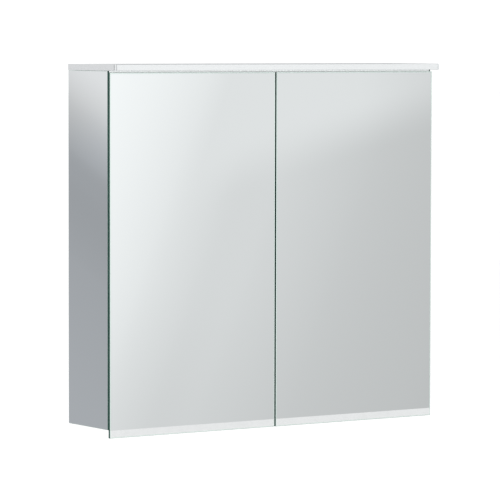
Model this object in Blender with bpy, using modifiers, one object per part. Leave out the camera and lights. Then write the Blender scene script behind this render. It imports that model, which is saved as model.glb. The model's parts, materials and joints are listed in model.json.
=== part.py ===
"""Wall-hung mirror cabinet with two doors, a lit canopy, glass shelves and a socket.

Metres, +Z up. The doors face -Y and the wall is at +Y. The origin is under the middle of the
cabinet, level with the lower edges of the doors.
"""

import math

import bmesh
import bpy
from mathutils import Vector

MM = 0.001
GAP = 0.3 * MM  # air between two pieces that touch
OVERLAP = 1.0 * MM  # how far a cutter runs past the wall that it cuts
LEFT, RIGHT = -1, 1
SIDES = {"left": LEFT, "right": RIGHT}

# Overall size
CANOPY_WIDTH = 0.750
CANOPY_DEPTH = 0.172
HEIGHT = 0.700
WALL_Y = CANOPY_DEPTH / 2
CANOPY_FRONT_Y = -CANOPY_DEPTH / 2

# Canopy with its light
CANOPY_THICK = 12.0 * MM
CANOPY_UNDER = HEIGHT - CANOPY_THICK
END_CAP_THICK = 3.0 * MM
LIGHT_GROOVE_WIDTH = 14.0 * MM
LIGHT_GROOVE_DEPTH = 8.5 * MM
LIGHT_GROOVE_LIP = 3.0 * MM
CABLE_GROOVE_WIDTH = 22.0 * MM
CABLE_GROOVE_DEPTH = 6.0 * MM
LED_WIDTH = 8.0 * MM
LED_THICK = 1.4 * MM
LED_END_INSET = 16.0 * MM
DIFFUSER_THICK = 2.0 * MM

# Body
BODY_WIDTH = 0.748
BODY_DEPTH = 0.143
BODY_BOTTOM = 15.2 * MM
HALF_BODY = BODY_WIDTH / 2
EDGE_Y = WALL_Y - BODY_DEPTH
SIDE_GLASS = 4.0 * MM
SIDE_TOTAL = 16.0 * MM
PANEL_THICK = 16.0 * MM
INNER_X = HALF_BODY - SIDE_TOTAL
BODY_TOP = CANOPY_UNDER - GAP
FLOOR_Z = BODY_BOTTOM + PANEL_THICK
CEILING_Z = BODY_TOP - PANEL_THICK
REAR_SPACE = 20.0 * MM
BACK_THICK = 5.0 * MM
BACK_GLASS = 3.0 * MM
BACK_Y = WALL_Y - REAR_SPACE - BACK_THICK
BACK_GLASS_Y = BACK_Y - GAP - BACK_GLASS
PARTITION_THICK = 16.0 * MM

# Glass shelves
SHELF_THICK = 6.0 * MM
SHELF_HEIGHTS = {"lower": 0.245, "upper": 0.460}
SHELF_FRONT_SETBACK = 14.0 * MM
SHELF_SIDE_GAP = 1.2 * MM
SHELF_REAR_GAP = 2.0 * MM

# Doors: two panes glued back to back, which hang below the body as a finger grip
DOOR_SPAN = 0.7465
CENTRE_GAP = 3.0 * MM
DOOR_TOP = CANOPY_UNDER - 3.5 * MM
DOOR_THICK = 5.0 * MM
DOOR_STANDOFF = 1.7 * MM
FRONT_PANE = 2.5 * MM
DOOR_BACK_Y = EDGE_Y - DOOR_STANDOFF
DOOR_FRONT_Y = DOOR_BACK_Y - DOOR_THICK
BUMPER_RADIUS = 4.0 * MM
BUMPER_X = 60.0 * MM

# Hinge, seen from above: x runs inwards from the mirrored side, y runs back from the body's
# front edge. The four points are the corners of a parallelogram, so both links keep pace
# with the door at a ratio of one.
DOOR_PIVOT = Vector((2.6, -5.1, 0.0)) * MM
ARM_PIN = Vector((24.0, 16.0, 0.0)) * MM
DOOR_PIN = Vector((44.0, 4.0, 0.0)) * MM
MIDDLE_PIN = ARM_PIN + DOOR_PIN - DOOR_PIVOT
HINGE_HEIGHTS = {"lower": 0.110, "upper": 0.590}
LINK_HALF_WIDTH = 3.5 * MM
LINK_HALF_HEIGHT = 5.0 * MM
EAR_LOW = LINK_HALF_HEIGHT + GAP
EAR_HIGH = 7.5 * MM
PIN_RADIUS = 1.6 * MM
PIN_HALF_LENGTH = 8.1 * MM
PIN_HOLE_RADIUS = PIN_RADIUS + GAP
LINK_WEB_SPAN = (0.36, 0.50)  # shares of the outer link's length
LINK_WEB_HALF_WIDTH = 1.5 * MM
ARM_END = 78.0 * MM
ARM_HALF_WIDTH = 4.5 * MM
ARM_NOSE = 22.0 * MM
BASE_THICK = 2.0 * MM
BASE_WING_LOW = 38.0 * MM
BASE_WING_HIGH = 60.0 * MM
BASE_WING_HALF = 24.0 * MM
BASE_HALF = 9.0 * MM
DOOR_PLATE_THICK = 1.2 * MM
DOOR_PLATE_HALF = 20.0 * MM
DOOR_PLATE_REACH = 15.0 * MM

# Light in the bottom panel
BOTTOM_LIGHT_Y = -30.0 * MM
BOTTOM_GROOVE_HALF_X = 0.340
CHANNEL_WIDTH = 24.0 * MM
CHANNEL_HEIGHT = 10.0 * MM
CHANNEL_WALL = 1.5 * MM

# Power unit in the right-hand bay: socket with a flap, and a light switch
UNIT_LOW_X = 0.218
UNIT_HIGH_X = 0.340
UNIT_FRONT_Y = 12.0 * MM
UNIT_HEIGHT = 70.0 * MM
UNIT_MID_Z = FLOOR_Z + GAP + UNIT_HEIGHT / 2
SOCKET_X = 0.252
SOCKET_RADIUS = 22.5 * MM
SOCKET_DEPTH = 34.0 * MM
WELL_RADIUS = 19.5 * MM
WELL_DEPTH = 15.0 * MM
CONTACT_SPACING = 19.0 * MM
CONTACT_RADIUS = 2.5 * MM
CONTACT_DEPTH = 12.0 * MM
FLAP_HALF = 26.0 * MM
FLAP_THICK = 2.5 * MM
FLAP_CLEARANCE = 0.6 * MM
FLAP_BARREL_RADIUS = 2.2 * MM
FLAP_BARREL_HALF = 18.0 * MM
FLAP_PIN_RADIUS = 0.9 * MM
FLAP_AXIS_Y = UNIT_FRONT_Y - 3.0 * MM
FLAP_AXIS_Z = UNIT_MID_Z + FLAP_HALF + 2.5 * MM
FLAP_NECK_HALF_Y = 1.8 * MM
FLAP_GRIP_PROUD = 1.5 * MM
FLAP_GRIP_HEIGHT = 2.0 * MM
FLAP_GRIP_RISE = 1.0 * MM
LUG_LENGTH = 5.0 * MM
LUG_HALF_HEIGHT = 2.0 * MM
SWITCH_X = 0.312
SWITCH_HALF_X = 10.3 * MM
SWITCH_HALF_Z = 16.3 * MM
SWITCH_DEPTH = 20.0 * MM
SWITCH_FRAME_BORDER = 4.7 * MM
SWITCH_FRAME_THICK = 1.5 * MM
ROCKER_HALF_X = 9.8 * MM
ROCKER_HALF_Z = 15.2 * MM
ROCKER_AXIS_Y = UNIT_FRONT_Y + 4.0 * MM
ROCKER_BACK = 4.0 * MM
ROCKER_TILT = math.radians(5.0)

# Wall rail, hangers and the mains pieces behind the back panel
RAIL_HALF_X = 0.350
RAIL_LOW_Z = 0.600
RAIL_TOP_Z = 0.650
RAIL_WEB = 2.5 * MM
RAIL_LEDGE_Z = 0.640
RAIL_LIP_Y = WALL_Y - 9.5 * MM
RAIL_LIP_TOP_Z = 0.652
HANGER_WIDTH = 38.0 * MM
HANGER_TOP_Z = 0.660
HANGER_HOOK = 3.5 * MM
HOOK_INSET = 1.0 * MM
REAR_Y = BACK_Y + BACK_THICK + GAP
DRIVER_LOW = Vector((-0.210, REAR_Y, 0.515))
DRIVER_SIZE = Vector((0.150, 0.016, 0.042))
TERMINAL_LOW = Vector((0.100, REAR_Y, 0.500))
TERMINAL_SIZE = Vector((0.070, 0.017, 0.050))
GLAND_RADIUS = 7.5 * MM
GLAND_NUT_RADIUS = 8.4 * MM
GLAND_LENGTH = 16.0 * MM
GLAND_NUT_DROP = 11.5 * MM
GLAND_NUT_LENGTH = 5.8 * MM
GLAND_BORE_RADIUS = 4.0 * MM

# Widths of the bevelled edges
BOARD_ARRIS = 0.4 * MM
DOOR_ARRIS = 0.4 * MM
SIDE_MIRROR_ARRIS = 0.5 * MM
SHELF_ARRIS = 0.8 * MM
CANOPY_ARRIS = 0.6 * MM
FLAP_ARRIS = 0.6 * MM
SWITCH_FRAME_ARRIS = 0.5 * MM
UNIT_ARRIS = 1.5 * MM
CASE_ARRIS = 1.0 * MM

ROUND_SIDES = 48
PIN_SIDES = 20
ARC_STEPS = 10
SMOOTH_ANGLE = math.radians(35.0)

# Colour, roughness, metallic
MIRROR = ((0.80, 0.83, 0.84), 0.03, 1.0)
GLASS = ((0.72, 0.85, 0.82), 0.05, 0.0)
WHITE_BOARD = ((0.80, 0.81, 0.82), 0.45, 0.0)
ALUMINIUM = ((0.82, 0.83, 0.84), 0.30, 1.0)
DIFFUSER = ((0.93, 0.94, 0.94), 0.50, 0.0)
CIRCUIT = ((0.90, 0.88, 0.70), 0.55, 0.0)
HINGE_STEEL = ((0.62, 0.63, 0.64), 0.25, 1.0)
RAIL_STEEL = ((0.55, 0.56, 0.57), 0.40, 1.0)
WHITE_PLASTIC = ((0.85, 0.85, 0.84), 0.35, 0.0)
GREY_PLASTIC = ((0.45, 0.46, 0.47), 0.45, 0.0)
SILICONE = ((0.85, 0.86, 0.86), 0.60, 0.0)


def clear_scene():
    for obj in list(bpy.data.objects):
        bpy.data.objects.remove(obj)


def new_collection(name):
    collection = bpy.data.collections.new(name)
    bpy.context.scene.collection.children.link(collection)
    return collection


clear_scene()
PARTS = new_collection("mirror_cabinet")
CUTTERS = new_collection("mirror_cabinet_cutters")


def finish(obj, look):
    """Gives the object a material of its own with this colour, roughness and metallic value."""
    colour, roughness, metallic = look
    material = bpy.data.materials.new(obj.name + "_finish")
    material.use_nodes = True
    shader = material.node_tree.nodes["Principled BSDF"]
    shader.inputs["Base Color"].default_value = (*colour, 1.0)
    shader.inputs["Roughness"].default_value = roughness
    shader.inputs["Metallic"].default_value = metallic
    obj.data.materials.clear()
    obj.data.materials.append(material)


def add_object(name, mesh, collection):
    obj = bpy.data.objects.new(name, mesh)
    collection.objects.link(obj)
    if collection is CUTTERS:
        obj.hide_render = True
        obj.display_type = "WIRE"
    return obj


def bevel(obj, width):
    modifier = obj.modifiers.new("edges", "BEVEL")
    modifier.width = width
    modifier.segments = 1
    modifier.limit_method = "ANGLE"
    return obj


def box(name, low, high, collection=PARTS):
    """A box between two corners, with its origin at its middle."""
    low, high = Vector(low), Vector(high)
    mesh = bpy.data.meshes.new(name)
    shape = bmesh.new()
    bmesh.ops.create_cube(shape, size=1.0)
    bmesh.ops.scale(shape, vec=high - low, verts=shape.verts)
    shape.to_mesh(mesh)
    shape.free()
    obj = add_object(name, mesh, collection)
    obj.location = (low + high) / 2
    return obj


def rod(name, centre, radius, length, axis, collection=PARTS, sides=PIN_SIDES):
    """A round bar along the X, Y or Z axis, with its origin at its middle."""
    mesh = bpy.data.meshes.new(name)
    shape = bmesh.new()
    bmesh.ops.create_cone(
        shape, cap_ends=True, segments=sides, radius1=radius, radius2=radius, depth=length
    )
    shape.to_mesh(mesh)
    shape.free()
    obj = add_object(name, mesh, collection)
    turns = {"X": (0, math.pi / 2, 0), "Y": (math.pi / 2, 0, 0), "Z": (0, 0, 0)}
    obj.rotation_euler = turns[axis]
    obj.location = centre
    return obj


def plate(name, outline, low, high, collection=PARTS):
    """A flat plate of this outline in x and y, from low to high in z."""
    curve = bpy.data.curves.new(name, "CURVE")
    curve.dimensions = "2D"
    curve.fill_mode = "BOTH"
    curve.extrude = (high - low) / 2
    spline = curve.splines.new("POLY")
    spline.points.add(len(outline) - 1)
    for point, (x, y) in zip(spline.points, outline):
        point.co = (x, y, 0.0, 1.0)
    spline.use_cyclic_u = True
    drawn = add_object(name + "_outline", curve, CUTTERS)
    drawn.location = (0.0, 0.0, (low + high) / 2)
    bpy.context.view_layer.update()
    graph = bpy.context.evaluated_depsgraph_get()
    mesh = bpy.data.meshes.new_from_object(drawn.evaluated_get(graph))
    mesh.transform(drawn.matrix_world)
    bpy.data.objects.remove(drawn)
    shape = bmesh.new()
    shape.from_mesh(mesh)
    bmesh.ops.remove_doubles(shape, verts=shape.verts, dist=1e-6)
    shape.to_mesh(mesh)
    shape.free()
    return add_object(name, mesh, collection)


def combine(target, operation, *others):
    for other in others:
        modifier = target.modifiers.new(other.name, "BOOLEAN")
        modifier.operation = operation
        modifier.solver = "EXACT"
        modifier.object = other
    return target


def cut(target, *cutters):
    return combine(target, "DIFFERENCE", *cutters)


def join(target, *pieces):
    return combine(target, "UNION", *pieces)


def smooth(mesh):
    mesh.shade_smooth()
    mesh.set_sharp_from_angle(angle=SMOOTH_ANGLE)


def settled_mesh(obj):
    """The mesh that the object's modifiers make, in world coordinates.

    The object and its helpers are removed.
    """
    bpy.context.view_layer.update()
    graph = bpy.context.evaluated_depsgraph_get()
    mesh = bpy.data.meshes.new_from_object(obj.evaluated_get(graph))
    mesh.transform(obj.matrix_world)
    helpers = [m.object for m in obj.modifiers if m.type == "BOOLEAN"]
    for helper in [obj, *helpers]:
        bpy.data.objects.remove(helper)
    smooth(mesh)
    return mesh


def pivot_empty(name, location):
    empty = bpy.data.objects.new(name, None)
    empty.empty_display_size = 0.02
    empty.location = location
    PARTS.objects.link(empty)
    return empty


def hang_on(empty, *objects):
    """Parents objects to an unturned empty without moving them."""
    for obj in objects:
        obj.location -= empty.location
        obj.parent = empty


def outer_and_inner(side, outer, inner):
    """The lower and the higher X of a span given by its distances from the middle."""
    return (-outer, -inner) if side == LEFT else (inner, outer)


def slot_outline(start, end, radius):
    """A bar with round ends, from one centre to the other."""
    along = (end - start).normalized()
    heading = math.atan2(along.y, along.x)
    points = []
    for centre, first in ((end, heading - math.pi / 2), (start, heading + math.pi / 2)):
        for step in range(ARC_STEPS + 1):
            angle = first + math.pi * step / ARC_STEPS
            points.append((centre.x + radius * math.cos(angle), centre.y + radius * math.sin(angle)))
    return points


def make_sides():
    for name, side in SIDES.items():
        low, high = outer_and_inner(side, HALF_BODY - SIDE_GLASS - GAP, INNER_X)
        board = box(name + "_side_panel", (low, EDGE_Y, BODY_BOTTOM), (high, WALL_Y, BODY_TOP))
        finish(bevel(board, BOARD_ARRIS), WHITE_BOARD)
        low, high = outer_and_inner(side, HALF_BODY, HALF_BODY - SIDE_GLASS)
        mirror = box(name + "_side_mirror", (low, EDGE_Y, BODY_BOTTOM), (high, WALL_Y, BODY_TOP))
        finish(bevel(mirror, SIDE_MIRROR_ARRIS), MIRROR)


def make_carcase():
    reach = INNER_X - GAP
    top = box("top_panel", (-reach, EDGE_Y, CEILING_Z), (reach, BACK_Y - GAP, BODY_TOP))
    finish(bevel(top, BOARD_ARRIS), WHITE_BOARD)
    bottom = box("bottom_panel", (-reach, EDGE_Y, BODY_BOTTOM), (reach, BACK_Y - GAP, FLOOR_Z))
    half_groove = CHANNEL_WIDTH / 2 + GAP
    groove = box(
        "bottom_light_groove",
        (-BOTTOM_GROOVE_HALF_X, BOTTOM_LIGHT_Y - half_groove, BODY_BOTTOM - OVERLAP),
        (BOTTOM_GROOVE_HALF_X, BOTTOM_LIGHT_Y + half_groove, BODY_BOTTOM + CHANNEL_HEIGHT + GAP),
        CUTTERS,
    )
    finish(cut(bevel(bottom, BOARD_ARRIS), groove), WHITE_BOARD)
    half = PARTITION_THICK / 2
    partition = box(
        "centre_partition",
        (-half, EDGE_Y, FLOOR_Z + GAP),
        (half, BACK_Y - GAP, CEILING_Z - GAP),
    )
    finish(bevel(partition, BOARD_ARRIS), WHITE_BOARD)
    back = box("back_panel", (-reach, BACK_Y, BODY_BOTTOM), (reach, BACK_Y + BACK_THICK, BODY_TOP))
    finish(back, WHITE_BOARD)
    for name, side in SIDES.items():
        low, high = outer_and_inner(side, reach, half + GAP)
        mirror = box(
            name + "_back_mirror",
            (low, BACK_GLASS_Y, FLOOR_Z + GAP),
            (high, BACK_GLASS_Y + BACK_GLASS, CEILING_Z - GAP),
        )
        finish(mirror, MIRROR)


def make_shelves():
    for name, side in SIDES.items():
        low, high = outer_and_inner(
            side, INNER_X - SHELF_SIDE_GAP, PARTITION_THICK / 2 + SHELF_SIDE_GAP
        )
        for level, height in SHELF_HEIGHTS.items():
            shelf = box(
                f"{name}_{level}_shelf",
                (low, EDGE_Y + SHELF_FRONT_SETBACK, height),
                (high, BACK_GLASS_Y - SHELF_REAR_GAP, height + SHELF_THICK),
            )
            finish(bevel(shelf, SHELF_ARRIS), GLASS)


def make_canopy():
    half = CANOPY_WIDTH / 2
    reach = half - END_CAP_THICK - GAP
    housing = box(
        "canopy_housing", (-reach, CANOPY_FRONT_Y, CANOPY_UNDER), (reach, WALL_Y, HEIGHT)
    )
    light_y = CANOPY_FRONT_Y + LIGHT_GROOVE_LIP
    light_groove = box(
        "canopy_light_groove",
        (-half, light_y, CANOPY_UNDER - OVERLAP),
        (half, light_y + LIGHT_GROOVE_WIDTH, CANOPY_UNDER + LIGHT_GROOVE_DEPTH),
        CUTTERS,
    )
    cable_y = EDGE_Y + PANEL_THICK
    cable_groove = box(
        "canopy_cable_groove",
        (-half, cable_y, CANOPY_UNDER - OVERLAP),
        (half, cable_y + CABLE_GROOVE_WIDTH, CANOPY_UNDER + CABLE_GROOVE_DEPTH),
        CUTTERS,
    )
    finish(cut(bevel(housing, CANOPY_ARRIS), light_groove, cable_groove), ALUMINIUM)
    for name, side in SIDES.items():
        low, high = outer_and_inner(side, half, half - END_CAP_THICK)
        cap = box(
            name + "_canopy_end_cap", (low, CANOPY_FRONT_Y, CANOPY_UNDER), (high, WALL_Y, HEIGHT)
        )
        finish(bevel(cap, CANOPY_ARRIS), ALUMINIUM)
    diffuser = box(
        "canopy_diffuser",
        (-reach, light_y + GAP, CANOPY_UNDER),
        (reach, light_y + LIGHT_GROOVE_WIDTH - GAP, CANOPY_UNDER + DIFFUSER_THICK),
    )
    finish(diffuser, DIFFUSER)
    led_top = CANOPY_UNDER + LIGHT_GROOVE_DEPTH - GAP
    led_mid = light_y + LIGHT_GROOVE_WIDTH / 2
    strip = box(
        "canopy_led_strip",
        (-reach + LED_END_INSET, led_mid - LED_WIDTH / 2, led_top - LED_THICK),
        (reach - LED_END_INSET, led_mid + LED_WIDTH / 2, led_top),
    )
    finish(strip, CIRCUIT)


def make_bottom_light():
    half_x = BOTTOM_GROOVE_HALF_X - GAP
    half_y = CHANNEL_WIDTH / 2
    top = BODY_BOTTOM + CHANNEL_HEIGHT
    channel = box(
        "bottom_light_channel",
        (-half_x, BOTTOM_LIGHT_Y - half_y, BODY_BOTTOM),
        (half_x, BOTTOM_LIGHT_Y + half_y, top),
    )
    inner_y = half_y - CHANNEL_WALL
    hollow = box(
        "bottom_light_hollow",
        (-half_x - OVERLAP, BOTTOM_LIGHT_Y - inner_y, BODY_BOTTOM - OVERLAP),
        (half_x + OVERLAP, BOTTOM_LIGHT_Y + inner_y, top - CHANNEL_WALL),
        CUTTERS,
    )
    finish(cut(channel, hollow), ALUMINIUM)
    led_top = top - CHANNEL_WALL - GAP
    strip = box(
        "bottom_led_strip",
        (-half_x + LED_END_INSET, BOTTOM_LIGHT_Y - LED_WIDTH / 2, led_top - LED_THICK),
        (half_x - LED_END_INSET, BOTTOM_LIGHT_Y + LED_WIDTH / 2, led_top),
    )
    finish(strip, CIRCUIT)
    diffuser = box(
        "bottom_light_diffuser",
        (-half_x, BOTTOM_LIGHT_Y - inner_y + GAP, BODY_BOTTOM),
        (half_x, BOTTOM_LIGHT_Y + inner_y - GAP, BODY_BOTTOM + DIFFUSER_THICK),
    )
    finish(diffuser, DIFFUSER)


def hinge_place(side, height, point):
    """A point of the hinge plan, moved to the cabinet's side at this height."""
    return Vector((side * (HALF_BODY - point.x), EDGE_Y + point.y, height + point.z))


def hinge_turn(side):
    """The right-hand hinge is the left-hand one turned over about Y."""
    return (0.0, 0.0, 0.0) if side == LEFT else (0.0, math.pi, 0.0)


def hinge_arm_mesh():
    """Base plate, arm, two ears and the arm pin. Its origin is on the arm pin."""
    inside = SIDE_TOTAL + GAP - ARM_PIN.x
    back = ARM_END - ARM_PIN.y
    body = box(
        "hinge_arm",
        (inside + BASE_THICK - GAP, ARM_NOSE - ARM_PIN.y, -EAR_HIGH),
        (ARM_HALF_WIDTH, back, EAR_HIGH),
        CUTTERS,
    )
    tongue = box(
        "hinge_base_tongue",
        (inside, ARM_NOSE - ARM_PIN.y + PIN_RADIUS, -BASE_HALF),
        (inside + BASE_THICK, back + BASE_HALF / 2, BASE_HALF),
        CUTTERS,
    )
    wing = box(
        "hinge_base_wing",
        (inside, BASE_WING_LOW - ARM_PIN.y, -BASE_WING_HALF),
        (inside + BASE_THICK, BASE_WING_HIGH - ARM_PIN.y, BASE_WING_HALF),
        CUTTERS,
    )
    nose = Vector((0.0, ARM_NOSE - ARM_PIN.y + LINK_HALF_WIDTH, 0.0))
    outline = slot_outline(Vector((0.0, 0.0, 0.0)), nose, LINK_HALF_WIDTH)
    upper_ear = plate("hinge_upper_ear", outline, EAR_LOW, EAR_HIGH, CUTTERS)
    lower_ear = plate("hinge_lower_ear", outline, -EAR_HIGH, -EAR_LOW, CUTTERS)
    pin = rod("hinge_arm_pin", (0, 0, 0), PIN_RADIUS, 2 * PIN_HALF_LENGTH, "Z", CUTTERS)
    return settled_mesh(join(body, tongue, wing, upper_ear, lower_ear, pin))


def inner_link_mesh():
    """The bar from the arm pin to the middle pin. Its origin is on the arm pin."""
    start = Vector((0.0, 0.0, 0.0))
    end = MIDDLE_PIN - ARM_PIN
    outline = slot_outline(start, end, LINK_HALF_WIDTH)
    bar = plate("inner_link", outline, -LINK_HALF_HEIGHT, LINK_HALF_HEIGHT, CUTTERS)
    length = 2 * (LINK_HALF_HEIGHT + OVERLAP)
    first = rod("inner_link_first_hole", start, PIN_HOLE_RADIUS, length, "Z", CUTTERS)
    second = rod("inner_link_second_hole", end, PIN_HOLE_RADIUS, length, "Z", CUTTERS)
    return settled_mesh(cut(bar, first, second))


def outer_link_mesh():
    """Two bars with a web and a pin at each end. Its origin is on the door pin."""
    start = Vector((0.0, 0.0, 0.0))
    end = MIDDLE_PIN - DOOR_PIN
    outline = slot_outline(start, end, LINK_HALF_WIDTH)
    upper = plate("outer_link", outline, EAR_LOW, EAR_HIGH, CUTTERS)
    lower = plate("outer_link_lower_bar", outline, -EAR_HIGH, -EAR_LOW, CUTTERS)
    web_start, web_end = (end * share for share in LINK_WEB_SPAN)
    web_outline = slot_outline(web_start, web_end, LINK_WEB_HALF_WIDTH)
    web = plate("outer_link_web", web_outline, -EAR_LOW - GAP, EAR_LOW + GAP, CUTTERS)
    length = 2 * PIN_HALF_LENGTH
    door_pin = rod("outer_link_door_pin", start, PIN_RADIUS, length, "Z", CUTTERS)
    middle_pin = rod("outer_link_middle_pin", end, PIN_RADIUS, length, "Z", CUTTERS)
    return settled_mesh(join(upper, web, lower, door_pin, middle_pin))


def door_plate_mesh():
    """A plate glued to the door, with a lug for the door pin. Its origin is on that pin."""
    glued_y = -DOOR_STANDOFF + GAP - DOOR_PIN.y
    base = box(
        "door_plate",
        (-DOOR_PLATE_REACH, glued_y, -DOOR_PLATE_HALF),
        (DOOR_PLATE_REACH, glued_y + DOOR_PLATE_THICK, DOOR_PLATE_HALF),
        CUTTERS,
    )
    root = Vector((0.0, glued_y + LINK_HALF_WIDTH + GAP, 0.0))
    outline = slot_outline(Vector((0.0, 0.0, 0.0)), root, LINK_HALF_WIDTH)
    lug = plate("door_plate_lug", outline, -LINK_HALF_HEIGHT, LINK_HALF_HEIGHT, CUTTERS)
    length = 2 * (LINK_HALF_HEIGHT + OVERLAP)
    hole = rod("door_plate_hole", (0, 0, 0), PIN_HOLE_RADIUS, length, "Z", CUTTERS)
    return settled_mesh(cut(join(base, lug), hole))


def make_hinges():
    """Four hinges. Returns the door plates of each side."""
    shapes = (
        ("arm", hinge_arm_mesh(), ARM_PIN),
        ("inner_link", inner_link_mesh(), ARM_PIN),
        ("outer_link", outer_link_mesh(), DOOR_PIN),
        ("door_plate", door_plate_mesh(), DOOR_PIN),
    )
    door_plates = {name: [] for name in SIDES}
    for name, side in SIDES.items():
        for level, height in HINGE_HEIGHTS.items():
            for part, mesh, origin in shapes:
                piece = add_object(f"{name}_{level}_hinge_{part}", mesh.copy(), PARTS)
                piece.location = hinge_place(side, height, origin)
                piece.rotation_euler = hinge_turn(side)
                finish(piece, HINGE_STEEL)
                if part == "door_plate":
                    door_plates[name].append(piece)
    return door_plates


def make_doors(door_plates):
    outer, inner = DOOR_SPAN / 2, CENTRE_GAP / 2
    for name, side in SIDES.items():
        low, high = outer_and_inner(side, outer, inner)
        front = box(
            name + "_door_front_mirror",
            (low, DOOR_FRONT_Y, 0.0),
            (high, DOOR_FRONT_Y + FRONT_PANE, DOOR_TOP),
        )
        finish(bevel(front, DOOR_ARRIS), MIRROR)
        rear = box(
            name + "_door_rear_mirror",
            (low, DOOR_FRONT_Y + FRONT_PANE + GAP, 0.0),
            (high, DOOR_BACK_Y, DOOR_TOP),
        )
        finish(bevel(rear, DOOR_ARRIS), MIRROR)
        pivot = pivot_empty(name + "_door_pivot", hinge_place(side, 0.0, DOOR_PIVOT))
        hang_on(pivot, front, rear, *door_plates[name])


def make_bumpers():
    thick = DOOR_STANDOFF - 2 * GAP
    heights = {"lower": BODY_BOTTOM + PANEL_THICK / 2, "upper": BODY_TOP - PANEL_THICK / 2}
    for name, side in SIDES.items():
        for level, height in heights.items():
            centre = (side * BUMPER_X, EDGE_Y - GAP - thick / 2, height)
            bumper = rod(f"{name}_{level}_door_bumper", centre, BUMPER_RADIUS, thick, "Y")
            smooth(bumper.data)
            finish(bumper, SILICONE)


def flap_lug(name, side):
    """A lug with a round nose about the flap's axis, which the lifting flap clears."""
    inner = SOCKET_X + side * (FLAP_BARREL_HALF + GAP)
    outer = inner + side * LUG_LENGTH
    low, high = sorted((inner, outer))
    centre = ((inner + outer) / 2, FLAP_AXIS_Y, FLAP_AXIS_Z)
    nose_length = LUG_LENGTH - GAP
    nose = rod(name + "_flap_lug_nose", centre, FLAP_BARREL_RADIUS, nose_length, "X", CUTTERS)
    shank = box(
        name + "_flap_lug",
        (low, FLAP_AXIS_Y, FLAP_AXIS_Z - LUG_HALF_HEIGHT),
        (high, UNIT_FRONT_Y + OVERLAP, FLAP_AXIS_Z + LUG_HALF_HEIGHT),
        CUTTERS,
    )
    return nose, shank


def make_socket():
    """Housing, contact insert and the flap that hangs on the housing's lugs."""
    housing = box(
        "socket_housing",
        (UNIT_LOW_X, UNIT_FRONT_Y, FLOOR_Z + GAP),
        (UNIT_HIGH_X, BACK_GLASS_Y - GAP, FLOOR_Z + GAP + UNIT_HEIGHT),
    )
    mouth_y = UNIT_FRONT_Y - OVERLAP
    socket_end = UNIT_FRONT_Y + SOCKET_DEPTH + GAP
    pocket = rod(
        "socket_pocket",
        (SOCKET_X, (mouth_y + socket_end) / 2, UNIT_MID_Z),
        SOCKET_RADIUS,
        socket_end - mouth_y,
        "Y",
        CUTTERS,
        ROUND_SIDES,
    )
    switch_pocket = box(
        "switch_pocket",
        (SWITCH_X - SWITCH_HALF_X, mouth_y, UNIT_MID_Z - SWITCH_HALF_Z),
        (SWITCH_X + SWITCH_HALF_X, UNIT_FRONT_Y + SWITCH_DEPTH, UNIT_MID_Z + SWITCH_HALF_Z),
        CUTTERS,
    )
    lugs = [lug for name, side in SIDES.items() for lug in flap_lug(name, side)]
    pin_length = 2 * (FLAP_BARREL_HALF + LUG_LENGTH / 2)
    pin_centre = (SOCKET_X, FLAP_AXIS_Y, FLAP_AXIS_Z)
    pin = rod("flap_pin", pin_centre, FLAP_PIN_RADIUS, pin_length, "X", CUTTERS)
    cut(bevel(housing, UNIT_ARRIS), pocket, switch_pocket)
    finish(join(housing, *lugs, pin), WHITE_PLASTIC)
    make_socket_insert()
    make_flap()


def make_socket_insert():
    insert = rod(
        "socket_insert",
        (SOCKET_X, UNIT_FRONT_Y + SOCKET_DEPTH / 2, UNIT_MID_Z),
        SOCKET_RADIUS - GAP,
        SOCKET_DEPTH,
        "Y",
        sides=ROUND_SIDES,
    )
    well = rod(
        "socket_well",
        (SOCKET_X, UNIT_FRONT_Y + (WELL_DEPTH - OVERLAP) / 2, UNIT_MID_Z),
        WELL_RADIUS,
        WELL_DEPTH + OVERLAP,
        "Y",
        CUTTERS,
        ROUND_SIDES,
    )
    holes = [
        rod(
            name + "_contact_hole",
            (SOCKET_X + side * CONTACT_SPACING / 2, UNIT_FRONT_Y + WELL_DEPTH, UNIT_MID_Z),
            CONTACT_RADIUS,
            2 * CONTACT_DEPTH,
            "Y",
            CUTTERS,
        )
        for name, side in SIDES.items()
    ]
    finish(cut(insert, well, *holes), WHITE_PLASTIC)


def make_flap():
    back_y = UNIT_FRONT_Y - FLAP_CLEARANCE - FLAP_AXIS_Y
    top_z = UNIT_MID_Z + FLAP_HALF - FLAP_AXIS_Z
    barrel = rod(
        "socket_flap", (0, 0, 0), FLAP_BARREL_RADIUS, 2 * FLAP_BARREL_HALF, "X", CUTTERS
    )
    sheet = box(
        "flap_sheet",
        (-FLAP_HALF, back_y - FLAP_THICK, top_z - 2 * FLAP_HALF),
        (FLAP_HALF, back_y, top_z),
        CUTTERS,
    )
    neck = box(
        "flap_neck",
        (-FLAP_BARREL_HALF, -FLAP_NECK_HALF_Y, top_z - OVERLAP),
        (FLAP_BARREL_HALF, FLAP_NECK_HALF_Y, -FLAP_PIN_RADIUS),
        CUTTERS,
    )
    front_y = back_y - FLAP_THICK
    grip_z = top_z - 2 * FLAP_HALF + FLAP_GRIP_RISE
    grip = box(
        "flap_grip",
        (-FLAP_HALF / 3, front_y - FLAP_GRIP_PROUD, grip_z),
        (FLAP_HALF / 3, front_y + OVERLAP, grip_z + FLAP_GRIP_HEIGHT),
        CUTTERS,
    )
    hole_length = 2 * (FLAP_BARREL_HALF + OVERLAP)
    hole = rod("flap_hole", (0, 0, 0), FLAP_PIN_RADIUS + GAP, hole_length, "X", CUTTERS)
    bevel(sheet, FLAP_ARRIS)
    mesh = settled_mesh(cut(join(sheet, barrel, neck, grip), hole))
    flap = add_object("socket_flap", mesh, PARTS)
    flap.location = (SOCKET_X, FLAP_AXIS_Y, FLAP_AXIS_Z)
    finish(flap, WHITE_PLASTIC)


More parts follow.
